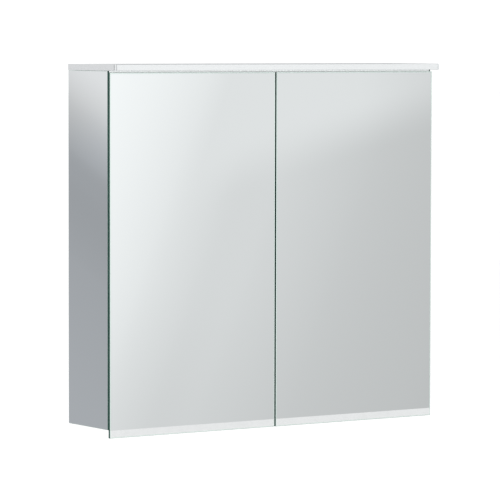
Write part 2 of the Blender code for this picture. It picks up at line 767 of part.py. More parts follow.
def make_switch():
    """A frame on the housing's front, and a rocker that turns on an axis behind it."""
    outer_x = SWITCH_HALF_X + SWITCH_FRAME_BORDER
    outer_z = SWITCH_HALF_Z + SWITCH_FRAME_BORDER
    front_y = UNIT_FRONT_Y - GAP
    frame = box(
        "switch_frame",
        (SWITCH_X - outer_x, front_y - SWITCH_FRAME_THICK, UNIT_MID_Z - outer_z),
        (SWITCH_X + outer_x, front_y, UNIT_MID_Z + outer_z),
    )
    window = box(
        "switch_window",
        (SWITCH_X - SWITCH_HALF_X, front_y - SWITCH_FRAME_THICK - OVERLAP, UNIT_MID_Z - SWITCH_HALF_Z),
        (SWITCH_X + SWITCH_HALF_X, front_y + OVERLAP, UNIT_MID_Z + SWITCH_HALF_Z),
        CUTTERS,
    )
    finish(cut(bevel(frame, SWITCH_FRAME_ARRIS), window), WHITE_PLASTIC)

    crease_y = front_y - SWITCH_FRAME_THICK - ROCKER_AXIS_Y
    tip_y = crease_y - ROCKER_HALF_Z * math.tan(ROCKER_TILT)
    outline = (
        (-ROCKER_HALF_Z, ROCKER_BACK),
        (-ROCKER_HALF_Z, tip_y),
        (0.0, crease_y),
        (ROCKER_HALF_Z, tip_y),
        (ROCKER_HALF_Z, ROCKER_BACK),
    )
    rocker = plate("switch_rocker", outline, -ROCKER_HALF_X, ROCKER_HALF_X)
    upright = rocker.data
    shape = bmesh.new()
    shape.from_mesh(upright)
    for vertex in shape.verts:
        vertex.co = (vertex.co.z, vertex.co.y, vertex.co.x)
    bmesh.ops.recalc_face_normals(shape, faces=shape.faces)
    shape.to_mesh(upright)
    shape.free()
    rocker.location = (SWITCH_X, ROCKER_AXIS_Y, UNIT_MID_Z)
    rocker.rotation_euler = (-ROCKER_TILT, 0.0, 0.0)
    finish(rocker, WHITE_PLASTIC)


def make_wall_rail():
    """An upright web on the wall with a ledge and a lip that the hangers hook over."""
    web_y = WALL_Y - RAIL_WEB
    web = box(
        "wall_rail", (-RAIL_HALF_X, web_y, RAIL_LOW_Z), (RAIL_HALF_X, WALL_Y, RAIL_TOP_Z)
    )
    ledge = box(
        "rail_ledge",
        (-RAIL_HALF_X, RAIL_LIP_Y, RAIL_LEDGE_Z - RAIL_WEB),
        (RAIL_HALF_X, web_y + OVERLAP, RAIL_LEDGE_Z),
        CUTTERS,
    )
    lip = box(
        "rail_lip",
        (-RAIL_HALF_X, RAIL_LIP_Y, RAIL_LEDGE_Z - RAIL_WEB),
        (RAIL_HALF_X, RAIL_LIP_Y + RAIL_WEB, RAIL_LIP_TOP_Z),
        CUTTERS,
    )
    finish(join(web, ledge, lip), RAIL_STEEL)


def make_hangers():
    """A block on each side behind the back panel, with a hook over the rail's lip."""
    body_back = RAIL_LIP_Y - GAP
    hook_front = RAIL_LIP_Y + RAIL_WEB + GAP
    for name, side in SIDES.items():
        low, high = outer_and_inner(side, INNER_X - GAP, INNER_X - HANGER_WIDTH)
        body = box(
            name + "_hanger",
            (low, REAR_Y, RAIL_LOW_Z),
            (high, body_back, HANGER_TOP_Z),
        )
        low, high = outer_and_inner(
            side, RAIL_HALF_X - HOOK_INSET, INNER_X - HANGER_WIDTH + 2 * HOOK_INSET
        )
        bridge = box(
            name + "_hanger_bridge",
            (low, body_back - OVERLAP, RAIL_LIP_TOP_Z + GAP),
            (high, hook_front + HANGER_HOOK, HANGER_TOP_Z - HOOK_INSET),
            CUTTERS,
        )
        hook = box(
            name + "_hanger_hook",
            (low, hook_front, RAIL_LEDGE_Z + GAP),
            (high, hook_front + HANGER_HOOK, HANGER_TOP_Z - HOOK_INSET),
            CUTTERS,
        )
        finish(join(body, bridge, hook), RAIL_STEEL)


def make_mains_parts():
    driver = box("led_driver", DRIVER_LOW, DRIVER_LOW + DRIVER_SIZE)
    finish(bevel(driver, CASE_ARRIS), WHITE_PLASTIC)
    terminal = box("terminal_box", TERMINAL_LOW, TERMINAL_LOW + TERMINAL_SIZE)
    finish(bevel(terminal, CASE_ARRIS), GREY_PLASTIC)
    middle = TERMINAL_LOW + TERMINAL_SIZE / 2
    top = TERMINAL_LOW.z - GAP
    gland = rod(
        "cable_gland",
        (middle.x, middle.y, top - GLAND_LENGTH / 2),
        GLAND_RADIUS,
        GLAND_LENGTH,
        "Z",
        sides=ROUND_SIDES // 2,
    )
    nut = rod(
        "gland_nut",
        (middle.x, middle.y, top - GLAND_NUT_DROP),
        GLAND_NUT_RADIUS,
        GLAND_NUT_LENGTH,
        "Z",
        CUTTERS,
        sides=6,
    )
    bore = rod(
        "gland_bore",
        (middle.x, middle.y, top - GLAND_LENGTH / 2),
        GLAND_BORE_RADIUS,
        GLAND_LENGTH + 2 * OVERLAP,
        "Z",
        CUTTERS,
        sides=ROUND_SIDES // 2,
    )
    finish(cut(join(gland, nut), bore), GREY_PLASTIC)


def main():
    make_sides()
    make_carcase()
    make_shelves()
    make_canopy()
    make_bottom_light()
    make_doors(make_hinges())
    make_bumpers()
    make_socket()
    make_switch()
    make_wall_rail()
    make_hangers()
    make_mains_parts()


main()
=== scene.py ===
"""Looks of a wall-hung mirror cabinet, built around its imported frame.

Metres, +Z up, doors towards -Y, wall towards +Y. Places come from the frame's own nodes.
"""

import json
import math

import bmesh
import bpy
from mathutils import Matrix, Vector

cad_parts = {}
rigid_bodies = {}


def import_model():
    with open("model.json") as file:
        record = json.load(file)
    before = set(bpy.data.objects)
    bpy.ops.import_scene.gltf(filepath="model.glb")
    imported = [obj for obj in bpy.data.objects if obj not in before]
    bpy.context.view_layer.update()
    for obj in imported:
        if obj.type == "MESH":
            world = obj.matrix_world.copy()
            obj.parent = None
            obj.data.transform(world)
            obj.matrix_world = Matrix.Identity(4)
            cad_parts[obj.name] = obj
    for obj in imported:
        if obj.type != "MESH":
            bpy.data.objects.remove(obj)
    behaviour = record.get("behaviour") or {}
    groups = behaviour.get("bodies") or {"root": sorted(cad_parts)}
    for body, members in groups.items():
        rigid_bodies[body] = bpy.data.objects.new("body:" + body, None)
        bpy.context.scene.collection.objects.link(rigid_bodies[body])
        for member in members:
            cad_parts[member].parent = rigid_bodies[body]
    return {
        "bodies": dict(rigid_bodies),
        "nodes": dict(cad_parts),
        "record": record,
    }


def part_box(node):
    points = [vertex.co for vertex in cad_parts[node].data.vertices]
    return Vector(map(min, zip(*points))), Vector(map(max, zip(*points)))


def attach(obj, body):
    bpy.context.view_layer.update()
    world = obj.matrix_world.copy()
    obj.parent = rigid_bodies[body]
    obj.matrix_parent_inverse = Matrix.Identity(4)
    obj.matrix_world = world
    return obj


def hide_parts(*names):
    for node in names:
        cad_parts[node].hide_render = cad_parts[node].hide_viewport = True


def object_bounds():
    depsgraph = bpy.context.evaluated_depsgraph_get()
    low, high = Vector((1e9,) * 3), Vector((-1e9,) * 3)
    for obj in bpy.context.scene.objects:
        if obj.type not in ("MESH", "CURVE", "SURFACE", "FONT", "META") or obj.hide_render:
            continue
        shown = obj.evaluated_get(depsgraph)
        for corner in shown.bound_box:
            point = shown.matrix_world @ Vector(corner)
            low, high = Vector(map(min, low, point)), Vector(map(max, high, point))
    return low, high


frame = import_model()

CAD_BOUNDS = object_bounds()
MM = 0.001
SIDES = {"left": -1, "right": 1}
LEVELS = ("lower", "upper")
BODIES = frame["record"]["behaviour"]["bodies"]
BODY_OF = {node: body for body, nodes in BODIES.items() for node in nodes}

# Camera
CAMERA_PLACE = Vector((-3.6725, -5.4946, 0.7464))
CAMERA_YAW = math.radians(33.639)
CAMERA_PITCH = math.radians(3.532)
CAMERA_ROLL = math.radians(0.115)
CAMERA_LENS = 245.35
CAMERA_SENSOR = 36.0
CAMERA_REACH = 200.0

# Studio: each light's name, place, size and watts
WORLD_STRENGTH = 1.12
LIGHTS = (
    ("key_light", (-2.6, -3.4, 3.2), 2.4, 60.0),
    ("fill_light", (3.2, -2.6, 2.0), 2.0, 20.0),
    ("rear_light", (1.0, 4.0, 3.0), 2.4, 8.0),
)
FLOOR_Z = -0.45
FLOOR_HALF = 60.0
STUDIO_WHITE = (0.985, 1.0, 1.01)

# Studio shell: display greys by share of its height, and the soft clouds that make them drift
DOME_RADIUS = 12.0
DOME_STEPS = 48
DOME_TONES = ((0.0, 190), (0.42, 205), (0.55, 220), (1.0, 250))
CLOUD_SIZE = 2.6
CLOUD_STRETCH = (1.0, 1.0, 0.7)
CLOUD_GAIN = (0.8, 1.1)

# Light cards: metres in front of a mirror, and how far they reach past it to fade out
DOOR_CARD_DISTANCE = 1.5
SIDE_CARD_DISTANCE = 1.0
CARD_MARGIN = 0.12
FADE_CLEARANCE = 0.01

# Tones of the door card: display greys by X at the pivot's height, further left the lower down
DOOR_TONES = ((-0.35, 246), (-0.155, 231), (-0.03, 217), (0.1, 213), (0.3, 201), (0.6, 192))
DOOR_TONES_SPAN = (-0.45, 0.75)
DOOR_TONES_PIVOT = 0.66
DOOR_TONES_LEAN = 0.42

# Light band across the top of the doors: its greys by X, and the line that is its lower border
BAND_TONES = ((-0.3, 224), (0.2, 224), (0.38, 214))
BAND_TONES_SPAN = (-0.4, 0.5)
BAND_BORDER = 0.525
BAND_SLOPE = 0.25
BAND_SOFTNESS = 0.06

# Darker lower left corner of the doors: its share, its top, and the X over which it fades
CORNER_DARK = 0.06
CORNER_TOP = 0.32
CORNER_SPAN = (-0.35, 0.25)

# Tones of the side card: display greys by height, higher up towards the wall, and its warmer top
SIDE_TONES = (
    (0.03, 169), (0.30, 163), (0.36, 159), (0.45, 158), (0.51, 167), (0.60, 197), (0.68, 222),
)
SIDE_TONES_SPAN = (-0.2, 0.9)
SIDE_TONES_LEAN = 0.4
SIDE_COOL = (0.965, 1.0, 1.065)
SIDE_WARM = (0.995, 1.0, 1.02)
SIDE_WARM_SPAN = (0.5, 0.64)

# Panes: the top arris is the one that points up by at least its level; it alone takes the bright
# facet finish, a painted highlight for the light from above
SILVER = (0.93, 0.95, 0.945)
SILVER_REFLECTS = 0.943
DOOR_FACET = 1.5 * MM
SIDE_FACET = 0.3 * MM
SHELF_FACET = 0.7 * MM
FACET_DEPTH = 0.03 * MM
FRONT_ARRIS = 0.3 * MM
DOOR_MARGIN = 0.8 * MM
SIDE_MARGIN = 0.4 * MM
FROST_TOP = 14.6 * MM
TOP_ARRIS_LEVEL = 0.3
BACK_ARRIS = 0.1 * MM
FILM_GAP = 0.01 * MM

# Meshes: the CAD's loose triangles are joined within the weld distance
WELD_DISTANCE = 0.001 * MM
CUT_TOLERANCE = 0.0001 * MM
CUT_CLEARANCE = 1.0 * MM
SHARP_ANGLE = math.radians(35.0)
ROUNDED_ANGLE = math.radians(40.0)
FLAT_ANGLE = math.radians(0.5)
ROUNDING_STEPS = 2
HOLE_STEPS = 16
TURNED_STEPS = 20
BUMPER_STEPS = 32

# Canopy: how squarely a face looks forwards to be the front, without and with its arris; front
# faces take a lighter aluminium, painted light
FRONT_FACING = 0.9
ARRIS_FACING = 0.7
CANOPY_FRONT_DEPTH = 1.0 * MM
# Depth of an end cap's front part, whose side faces are painted darker as shade
FACIA_DEPTH = 4.4 * MM
JOINT_LINE = 0.3 * MM
CAP_GLUE = 0.25 * MM
CAP_ROUNDING = 0.075 * MM
CANOPY_ROUNDING = 0.12 * MM

# Glowing strip on the front edge of the top panel, seen over the doors: painted light in the
# shaded gap between the door tops and the canopy
GLOW_INSET = 3.4 * MM
GLOW_PROUD = 0.35 * MM
GLOW_GAP = 0.05 * MM
GLOW_HEIGHT = 4.0 * MM
GLOW_BRIGHT_HEIGHT = 1.15 * MM

# Screw heads: radius and height, then shares of the two
BACK_SCREW = (3.0 * MM, 1.3 * MM)
HINGE_BASE_SCREW = (3.4 * MM, 1.7 * MM)
HINGE_ADJUSTER = (2.4 * MM, 1.1 * MM)
SOCKET_SCREW = (3.0 * MM, 1.2 * MM)
LID_SCREW = (2.6 * MM, 1.2 * MM)
HANGER_SCREW = (4.0 * MM, 2.0 * MM)
SCREW_RIM = 0.35
SCREW_CROWN_DEGREES = (25, 50, 72)
RECESS_LENGTH = 0.55
RECESS_WIDTH = 0.13
RECESS_FLOOR = 0.45

# Boards
BOARD_ROUNDING = 0.4 * MM
BACK_SCREWS = 5
BACK_SCREW_INSET = 8.0 * MM
BACK_SCREW_DROP = 24.0 * MM

# Shelf holes and pins
SHELF_HOLE_RADIUS = 2.5 * MM
BOARD_HOLE_DEPTH = 7.0 * MM
PARTITION_HOLE_DEPTH = 6.0 * MM
SHELF_HOLE_PITCH = 32.0 * MM
SHELF_HOLE_INSET = 26.0 * MM
PIN_PLAY = 0.1 * MM
PIN_DEPTH = 4.5 * MM
PIN_REACH = 8.5 * MM
PIN_SEAT = 0.3 * MM
PIN_COLLAR = 1.2 * MM

# Light chips
CHIP_PITCH = 16.7 * MM
CHIP_HALF = 1.6 * MM
CHIP_THICK = 0.25 * MM
CHIP_ROUNDING = CHIP_THICK / 3

# Hinges
HINGE_PARTS = ("arm", "inner_link", "outer_link", "door_plate")
HINGE_ROUNDING = 0.3 * MM
HINGE_WING_THICK = 2.35 * MM
HINGE_WING_MIDDLE = 33.0 * MM
HINGE_WING_SPREAD = 17.0 * MM
HINGE_ADJUSTER_INSETS = (16.0 * MM, 32.0 * MM)

# Bumpers: outline in shares of radius and thickness
BUMPER_OUTLINE = ((0, 0), (1, 0), (1, 0.35), (0.93, 0.65), (0.75, 0.88), (0.4, 1), (0, 1))

# Socket
SOCKET_ROUNDING = {
    "socket_housing": 0.3 * MM,
    "socket_insert": 0.4 * MM,
    "socket_flap": 0.3 * MM,
    "switch_frame": 0.3 * MM,
    "switch_rocker": 0.5 * MM,
}
WELL_RADIUS = 19.5 * MM
WELL_DEPTH = 15.0 * MM
CLIP_HALF = Vector((2.5, 0.0, 0.5)) * MM
CLIP_INSET = 0.9 * MM
CLIP_RECESS = 3.0 * MM
CLIP_CLEARANCE = 0.1 * MM
CLIP_ROUNDING = 0.3 * MM
SLEEVE_SPREAD = 9.5 * MM
SLEEVE_BORE = 1.9 * MM
SLEEVE_RADIUS = 2.35 * MM
SLEEVE_LENGTH = 9.0 * MM
SLEEVE_RECESS = 1.0 * MM

# Driver and terminal box: grooves at shares of the height
LID_SCREW_INSET = 6.0 * MM
MAINS_ROUNDING = 0.2 * MM
GLAND_ROUNDING = 0.3 * MM
GROOVE_HEIGHTS = (0.3, 0.43, 0.57, 0.7)
GROOVE_INSET = 14.0 * MM
GROOVE_DEPTH = 0.6 * MM
GROOVE_HALF = 0.5 * MM

# Rail and hangers
RAIL_SLOTS = 8
RAIL_SLOT_HEIGHT = 16.0 * MM
RAIL_SLOT_HALF = Vector((9.0, 6.0, 3.2)) * MM
RAIL_SLOT_ROUNDING = 1.5 * MM
RAIL_ROUNDING = 0.3 * MM
HANGER_ROUNDING = 0.5 * MM
HANGER_SCREW_HEIGHTS = (9.0 * MM, 24.0 * MM)
HANGER_SCREW_SEAT = 2.3 * MM

# Material places of a pane and of an end cap's front part, and a Mix node's colour sockets
FACE, EDGE, FACET, MARGIN, BACK, FROST = range(6)
CAP_FACIA, CAP_FRONT = 1, 2
MIX_FACTOR, MIX_FIRST, MIX_SECOND, MIX_RESULT = 0, 6, 7, 2


# ---- materials


def linear(grey):
    """Scene-linear value of a display grey from 0 to 255, by the sRGB curve."""
    share = grey / 255.0
    return share / 12.92 if share <= 0.04045 else ((share + 0.055) / 1.055) ** 2.4


class Look:
    """A material whose colour, roughness and relief come from procedural nodes."""

    def __init__(self, name, colour=(0.8, 0.8, 0.8), roughness=0.5, metallic=0.0):
        self.material = bpy.data.materials.new(name)
        self.material.use_nodes = True
        self.tree = self.material.node_tree
        self.shader = self.tree.nodes["Principled BSDF"]
        self.set("Base Color", (*colour, 1.0))
        self.set("Roughness", roughness)
        self.set("Metallic", metallic)

    def set(self, socket, value):
        self.shader.inputs[socket].default_value = value
        return self

    def add(self, kind, links=None, values=None, **settings):
        """A new node whose sockets take these links and plain values."""
        made = self.tree.nodes.new(kind)
        for key, value in settings.items():
            setattr(made, key, value)
        for key, value in (values or {}).items():
            made.inputs[key].default_value = value
        for key, output in (links or {}).items():
            self.tree.links.new(output, made.inputs[key])
        return made

    def math(self, operation, first, second=0.0):
        made = self.add("ShaderNodeMath", operation=operation)
        for place, term in enumerate((first, second)):
            if isinstance(term, (int, float)):
                made.inputs[place].default_value = term
            else:
                self.tree.links.new(term, made.inputs[place])
        return made.outputs[0]

    def coordinates(self):
        return self.add("ShaderNodeTexCoord").outputs["Object"]

    def axes(self):
        split = self.add("ShaderNodeSeparateXYZ", {"Vector": self.coordinates()})
        return split.outputs

    def noise(self, size, detail=2.0, stretch=(1.0, 1.0, 1.0)):
        """Noise whose features are about this many metres across, drawn out along an axis."""
        scale = [1.0 / (size * factor) for factor in stretch]
        place = self.add(
            "ShaderNodeMapping", {"Vector": self.coordinates()}, {"Scale": scale}
        )
        noise = self.add(
            "ShaderNodeTexNoise",
            {"Vector": place.outputs[0]},
            {"Scale": 1.0, "Detail": detail, "Roughness": 0.55},
        )
        return noise.outputs[0]

    def between(self, factor, low, high, start=0.3, end=0.7, smooth=False):
        """A number from low to high as the factor goes from start to end."""
        made = self.add(
            "ShaderNodeMapRange",
            {"Value": factor},
            {"From Min": start, "From Max": end, "To Min": low, "To Max": high},
            interpolation_type="SMOOTHSTEP" if smooth else "LINEAR",
        )
        return made.outputs[0]

    def vary(self, socket, factor, low, high):
        self.tree.links.new(self.between(factor, low, high), self.shader.inputs[socket])
        return self

    def blend(self, share, first, second):
        """A colour from first to second as the share goes from 0 to 1."""
        colours = {MIX_FIRST: (*first, 1.0), MIX_SECOND: (*second, 1.0)}
        made = self.add("ShaderNodeMix", {MIX_FACTOR: share}, colours, data_type="RGBA")
        return made.outputs[MIX_RESULT]

    def tint(self, factor, first, second):
        colour = self.blend(self.between(factor, 0.0, 1.0), first, second)
        self.tree.links.new(colour, self.shader.inputs["Base Color"])
        return self

    def relief(self, height, depth, strength):
        """Bump from a height of 0 to 1 that stands for this depth in metres."""
        bump = self.add(
            "ShaderNodeBump", {"Height": height}, {"Strength": strength, "Distance": depth}
        )
        self.tree.links.new(bump.outputs[0], self.shader.inputs["Normal"])
        return self

    def ramp(self, factor, span, stops):
        """A smooth grey ramp over (place, display grey) stops, places running along the span."""
        low, high = span
        share = self.between(factor, 0.0, 1.0, low, high)
        made = self.add("ShaderNodeValToRGB", {"Fac": share})
        made.color_ramp.interpolation = "CARDINAL"
        elements = made.color_ramp.elements
        while len(elements) < len(stops):
            elements.new(0.5)
        for element, (place, grey) in zip(elements, stops):
            element.position = (place - low) / (high - low)
            element.color = (*[linear(grey)] * 3, 1.0)
        return made.outputs[0]

    def glow(self, strength, colour, cover=None, second=None, share=None):
        """Turns the material into plain light, see-through where cover is 0.

        A second colour is mixed in by its share.
        """
        self.tree.nodes.remove(self.shader)
        output = self.tree.nodes["Material Output"]
        light = self.add("ShaderNodeEmission", {"Strength": strength}, {"Color": (*colour, 1.0)})
        if second:
            self.tree.links.new(self.blend(share, colour, second), light.inputs["Color"])
        shader = light.outputs[0]
        if cover is not None:
            clear = self.add("ShaderNodeBsdfTransparent")
            mix = self.add("ShaderNodeMixShader", {0: cover, 1: clear.outputs[0], 2: shader})
            shader = mix.outputs[0]
        self.tree.links.new(shader, output.inputs["Surface"])
        self.material.cycles.emission_sampling = "NONE"
        return self


def silver_look():
    """Silvered glass, with the faintest haze left by wiping."""
    look = Look("silver", SILVER, metallic=1.0)
    return look.vary("Roughness", look.noise(0.09, 3.0), 0.006, 0.014).material


def glass_edge_look():
    """The polished edge of a pane, dark green from looking through its whole width."""
    look = Look("glass_edge", roughness=0.16)
    look.set("Specular IOR Level", 0.12)
    streaks = look.noise(0.004, 3.0, (1.0, 1.0, 14.0))
    look.tint(streaks, (0.020, 0.060, 0.048), (0.036, 0.088, 0.072))
    look.vary("Roughness", streaks, 0.12, 0.24)
    return look.relief(streaks, 0.03 * MM, 0.4).material


def facet_look():
    """The narrow polished facet round a pane's front."""
    look = Look("glass_facet", roughness=0.12, metallic=0.72)
    wheel_marks = look.noise(0.003, 2.0, (1.0, 1.0, 8.0))
    look.tint(wheel_marks, (0.87, 1.0, 0.94), (0.90, 1.0, 0.96))
    return look.vary("Roughness", wheel_marks, 0.09, 0.18).material


def margin_look():
    """The rim of a pane where the silver stops short of the edge."""
    look = Look("silver_margin", roughness=0.05, metallic=1.0)
    look.tint(look.noise(0.002, 3.0), (0.74, 0.81, 0.79), (0.82, 0.87, 0.85))
    return look.material


def backing_look():
    """Grey protective lacquer on the silver's back."""
    look = Look("mirror_backing", roughness=0.5)
    mottle = look.noise(0.006, 4.0)
    look.tint(mottle, (0.30, 0.32, 0.32), (0.36, 0.38, 0.38))
    return look.relief(mottle, 0.05 * MM, 0.5).material


def frost_look():
    """Glass etched to a soft white."""
    look = Look("frosted_glass", roughness=0.42)
    etch = look.noise(0.0006, 4.0)
    look.tint(look.noise(0.02, 3.0), (0.590, 0.602, 0.604), (0.615, 0.626, 0.628))
    look.vary("Roughness", etch, 0.36, 0.5)
    return look.relief(etch, 0.02 * MM, 0.5).material


def clear_glass_look(name, colour, roughness):
    """Clear glass with a trace of wiping on it."""
    look = Look(name, colour, roughness)
    look.set("IOR", 1.52).set("Transmission Weight", 1.0)
    look.vary("Roughness", look.noise(0.05, 2.0), roughness, roughness + 0.012)
    return look.material


def laminate_look():
    """White melamine board with a fine pearl grain."""
    look = Look("white_laminate", roughness=0.42)
    pearl = look.noise(0.0011, 4.0)
    look.tint(look.noise(0.12, 3.0), (0.620, 0.628, 0.634), (0.655, 0.661, 0.665))
    look.vary("Roughness", pearl, 0.36, 0.5)
    return look.relief(pearl, 0.06 * MM, 0.6).material


def aluminium_look(name, dark, light, metallic, roughness):
    """Satin anodised aluminium, ground along X."""
    look = Look(name, light, roughness, metallic)
    grain = look.noise(0.0007, 4.0, (60.0, 1.0, 1.0))
    look.tint(grain, dark, light)
    look.vary("Roughness", grain, roughness - 0.05, roughness + 0.08)
    return look.relief(grain, 0.02 * MM, 0.5).material


def opal_look(name, emission):
    """Milky extruded light cover, lit from inside; also the glow strip's painted light."""
    look = Look(name, roughness=0.4)
    flow = look.noise(0.003, 3.0, (20.0, 1.0, 1.0))
    look.tint(flow, (0.66, 0.67, 0.67), (0.72, 0.725, 0.72))
    look.set("Subsurface Weight", 0.3).set("Subsurface Scale", 0.002)
    look.set("Subsurface Radius", (1.0, 1.0, 1.0))
    look.set("Emission Color", (0.96, 1.0, 1.0, 1.0)).set("Emission Strength", emission)
    return look.relief(flow, 0.03 * MM, 0.4).material


def circuit_look():
    """A white lacquered circuit board, its glass weave just showing."""
    look = Look("circuit_board", roughness=0.38)
    weave = look.noise(0.0009, 2.0)
    look.tint(look.noise(0.004, 3.0), (0.78, 0.77, 0.70), (0.84, 0.83, 0.77))
    return look.relief(weave, 0.03 * MM, 0.5).material


def phosphor_look():
    """The yellow filling of a light chip."""
    look = Look("led_phosphor", roughness=0.3)
    look.tint(look.noise(0.0008, 3.0), (0.82, 0.68, 0.22), (0.90, 0.78, 0.34))
    return look.set("Coat Weight", 0.6).material


def metal_look(name, dark, light, roughness, grain_size):
    """Plated metal with slight mottling and fine handling marks."""
    look = Look(name, light, roughness, 1.0)
    look.tint(look.noise(grain_size, 4.0), dark, light)
    marks = look.noise(0.0018, 5.0, (1.0, 1.0, 4.0))
    look.vary("Roughness", marks, roughness * 0.75, roughness * 1.35)
    return look.relief(marks, 0.02 * MM, 0.35).material


def zinc_look():
    """Zinc plate with its crystal pattern."""
    look = Look("zinc_plate", roughness=0.36, metallic=1.0)
    place = look.add(
        "ShaderNodeMapping", {"Vector": look.coordinates()}, {"Scale": (180.0, 180.0, 180.0)}
    )
    crystals = look.add("ShaderNodeTexVoronoi", {"Vector": place.outputs[0]})
    shade = look.add("ShaderNodeSeparateXYZ", {"Vector": crystals.outputs["Color"]})
    look.tint(shade.outputs[0], (0.55, 0.57, 0.59), (0.64, 0.66, 0.68))
    look.vary("Roughness", shade.outputs[1], 0.28, 0.46)
    return look.relief(shade.outputs[2], 0.02 * MM, 0.3).material


def plastic_look(name, dark, light, roughness, texture):
    """Moulded plastic with a spark-eroded grain."""
    look = Look(name, light, roughness)
    grain = look.noise(0.0009, 4.0)
    look.tint(look.noise(0.03, 3.0), dark, light)
    look.vary("Roughness", grain, roughness - 0.05, roughness + 0.1)
    return look.relief(grain, texture, 0.6).material


def silicone_look():
    """Milky silicone rubber."""
    look = Look("silicone", roughness=0.5)
    look.tint(look.noise(0.003, 3.0), (0.80, 0.82, 0.82), (0.86, 0.87, 0.87))
    look.set("Transmission Weight", 0.35)
    return look.relief(look.noise(0.0008, 3.0), 0.02 * MM, 0.4).material


LOOKS = {
    "silver": silver_look(),
    "edge": glass_edge_look(),
    "facet": facet_look(),
    "margin": margin_look(),
    "backing": backing_look(),
    "frost": frost_look(),
    "glass": clear_glass_look("clear_glass", (0.93, 0.985, 0.965), 0.004),
    "glass_rim": clear_glass_look("clear_glass_rim", (0.36, 0.66, 0.56), 0.03),
    "laminate": laminate_look(),
    # Lighter copy of the canopy's aluminium for its forward faces: painted light
    "painted_lit_aluminium": aluminium_look(
        "painted_lit_aluminium", (0.755, 0.775, 0.78), (0.79, 0.805, 0.81), 0.4, 0.3
    ),
    "cap_aluminium": aluminium_look(
        "cap_aluminium", (0.73, 0.74, 0.75), (0.79, 0.80, 0.81), 0.55, 0.32
    ),
    # Darker copy of the aluminium for the other faces of the end caps' front parts: painted shade
    "painted_shade_facia_end": aluminium_look(
        "painted_shade_facia_end", (0.47, 0.48, 0.485), (0.51, 0.52, 0.525), 0.4, 0.3
    ),
    "satin_aluminium": aluminium_look(
        "satin_aluminium", (0.45, 0.46, 0.47), (0.51, 0.52, 0.53), 0.5, 0.34
    ),
    "opal": opal_look("opal_cover", 0.12),
    # The glow strip over the doors, brighter at its top than its foot: painted light in the shaded
    # gap
    "glow": opal_look("glow_strip", 0.72),
    "dim_glow": opal_look("glow_strip_foot", 0.3),
    "circuit": circuit_look(),
    "phosphor": phosphor_look(),
    "nickel": metal_look("nickel_plate", (0.56, 0.56, 0.55), (0.70, 0.70, 0.69), 0.2, 0.004),
    "brass": metal_look("brass", (0.66, 0.48, 0.20), (0.80, 0.61, 0.30), 0.28, 0.002),
    "zinc": zinc_look(),
    "white_plastic": plastic_look(
        "white_plastic", (0.67, 0.67, 0.66), (0.71, 0.71, 0.70), 0.3, 0.02 * MM
    ),
    "grey_plastic": plastic_look(
        "grey_plastic", (0.20, 0.21, 0.22), (0.25, 0.26, 0.27), 0.42, 0.04 * MM
    ),
    "silicone": silicone_look(),
}


# ---- geometry


def link_object(name, data):
    obj = bpy.data.objects.new(name, data)
    bpy.context.scene.collection.objects.link(obj)
    return obj


def mesh_object(name, shape, *looks):
    """Turns a bmesh into an object whose material slots are these looks."""
    bmesh.ops.recalc_face_normals(shape, faces=shape.faces)
    mesh = bpy.data.meshes.new(name)
    shape.to_mesh(mesh)
    shape.free()
    for look in looks:
        mesh.materials.append(LOOKS[look])
    return link_object(name, mesh)


def smooth(obj):
    obj.data.shade_smooth()
    obj.data.set_sharp_from_angle(angle=SHARP_ANGLE)
    return obj


def box_shape(low, high, radius=0.0):
    """A box between two corners, its edges rounded by this radius."""
    low, high = Vector(low), Vector(high)
    shape = bmesh.new()
    bmesh.ops.create_cube(shape, size=1.0)
    bmesh.ops.scale(shape, vec=high - low, verts=shape.verts)
    bmesh.ops.translate(shape, vec=(low + high) / 2, verts=shape.verts)
    if radius:
        bmesh.ops.bevel(
            shape, geom=list(shape.edges), offset=radius, segments=ROUNDING_STEPS,
            profile=0.5, affect="EDGES",
        )
    return shape


def turned_shape(profile, steps):
    """A profile of (radius, height) points turned about Z.

    It starts and ends on the axis, or closes on itself beside it.
    """
    shape = bmesh.new()
    points = [shape.verts.new((radius, 0.0, height)) for radius, height in profile]
    edges = [shape.edges.new(pair) for pair in zip(points, points[1:])]
    bmesh.ops.spin(
        shape, geom=points + edges, cent=(0, 0, 0), axis=(0, 0, 1),
        angle=math.tau, steps=steps, use_merge=True,
    )
    bmesh.ops.remove_doubles(shape, verts=shape.verts, dist=WELD_DISTANCE)
    return shape


def as_mesh(name, shape):
    mesh = bpy.data.meshes.new(name)
    shape.to_mesh(mesh)
    shape.free()
    return mesh


def turn_to(direction):
    """The rotation that takes +Z to this direction."""
    return Vector((0, 0, 1)).rotation_difference(Vector(direction)).to_matrix().to_4x4()


def repeated(name, pattern, places, *looks):
    """One object with a copy of the pattern at each (point, direction of its +Z)."""
    shape = bmesh.new()
    for point, direction in places:
        copy = pattern.copy()
        copy.transform(Matrix.Translation(point) @ turn_to(direction))
        shape.from_mesh(copy)
        bpy.data.meshes.remove(copy)
    return smooth(mesh_object(name, shape, *looks))


def settle(obj):
    """Applies the modifiers and removes the objects that they cut with."""
    bpy.context.view_layer.update()
    graph = bpy.context.evaluated_depsgraph_get()
    mesh = bpy.data.meshes.new_from_object(obj.evaluated_get(graph))
    helpers = [m.object for m in obj.modifiers if m.type == "BOOLEAN"]
    obj.modifiers.clear()
    obj.data = mesh
    for helper in helpers:
        bpy.data.objects.remove(helper)
    return obj


def carve(obj, *cutters):
    """Cuts these objects out of a piece."""
    for cutter in cutters:
        modifier = obj.modifiers.new(cutter.name, "BOOLEAN")
        modifier.operation = "DIFFERENCE"
        modifier.solver = "EXACT"
        modifier.object = cutter
    return settle(obj)


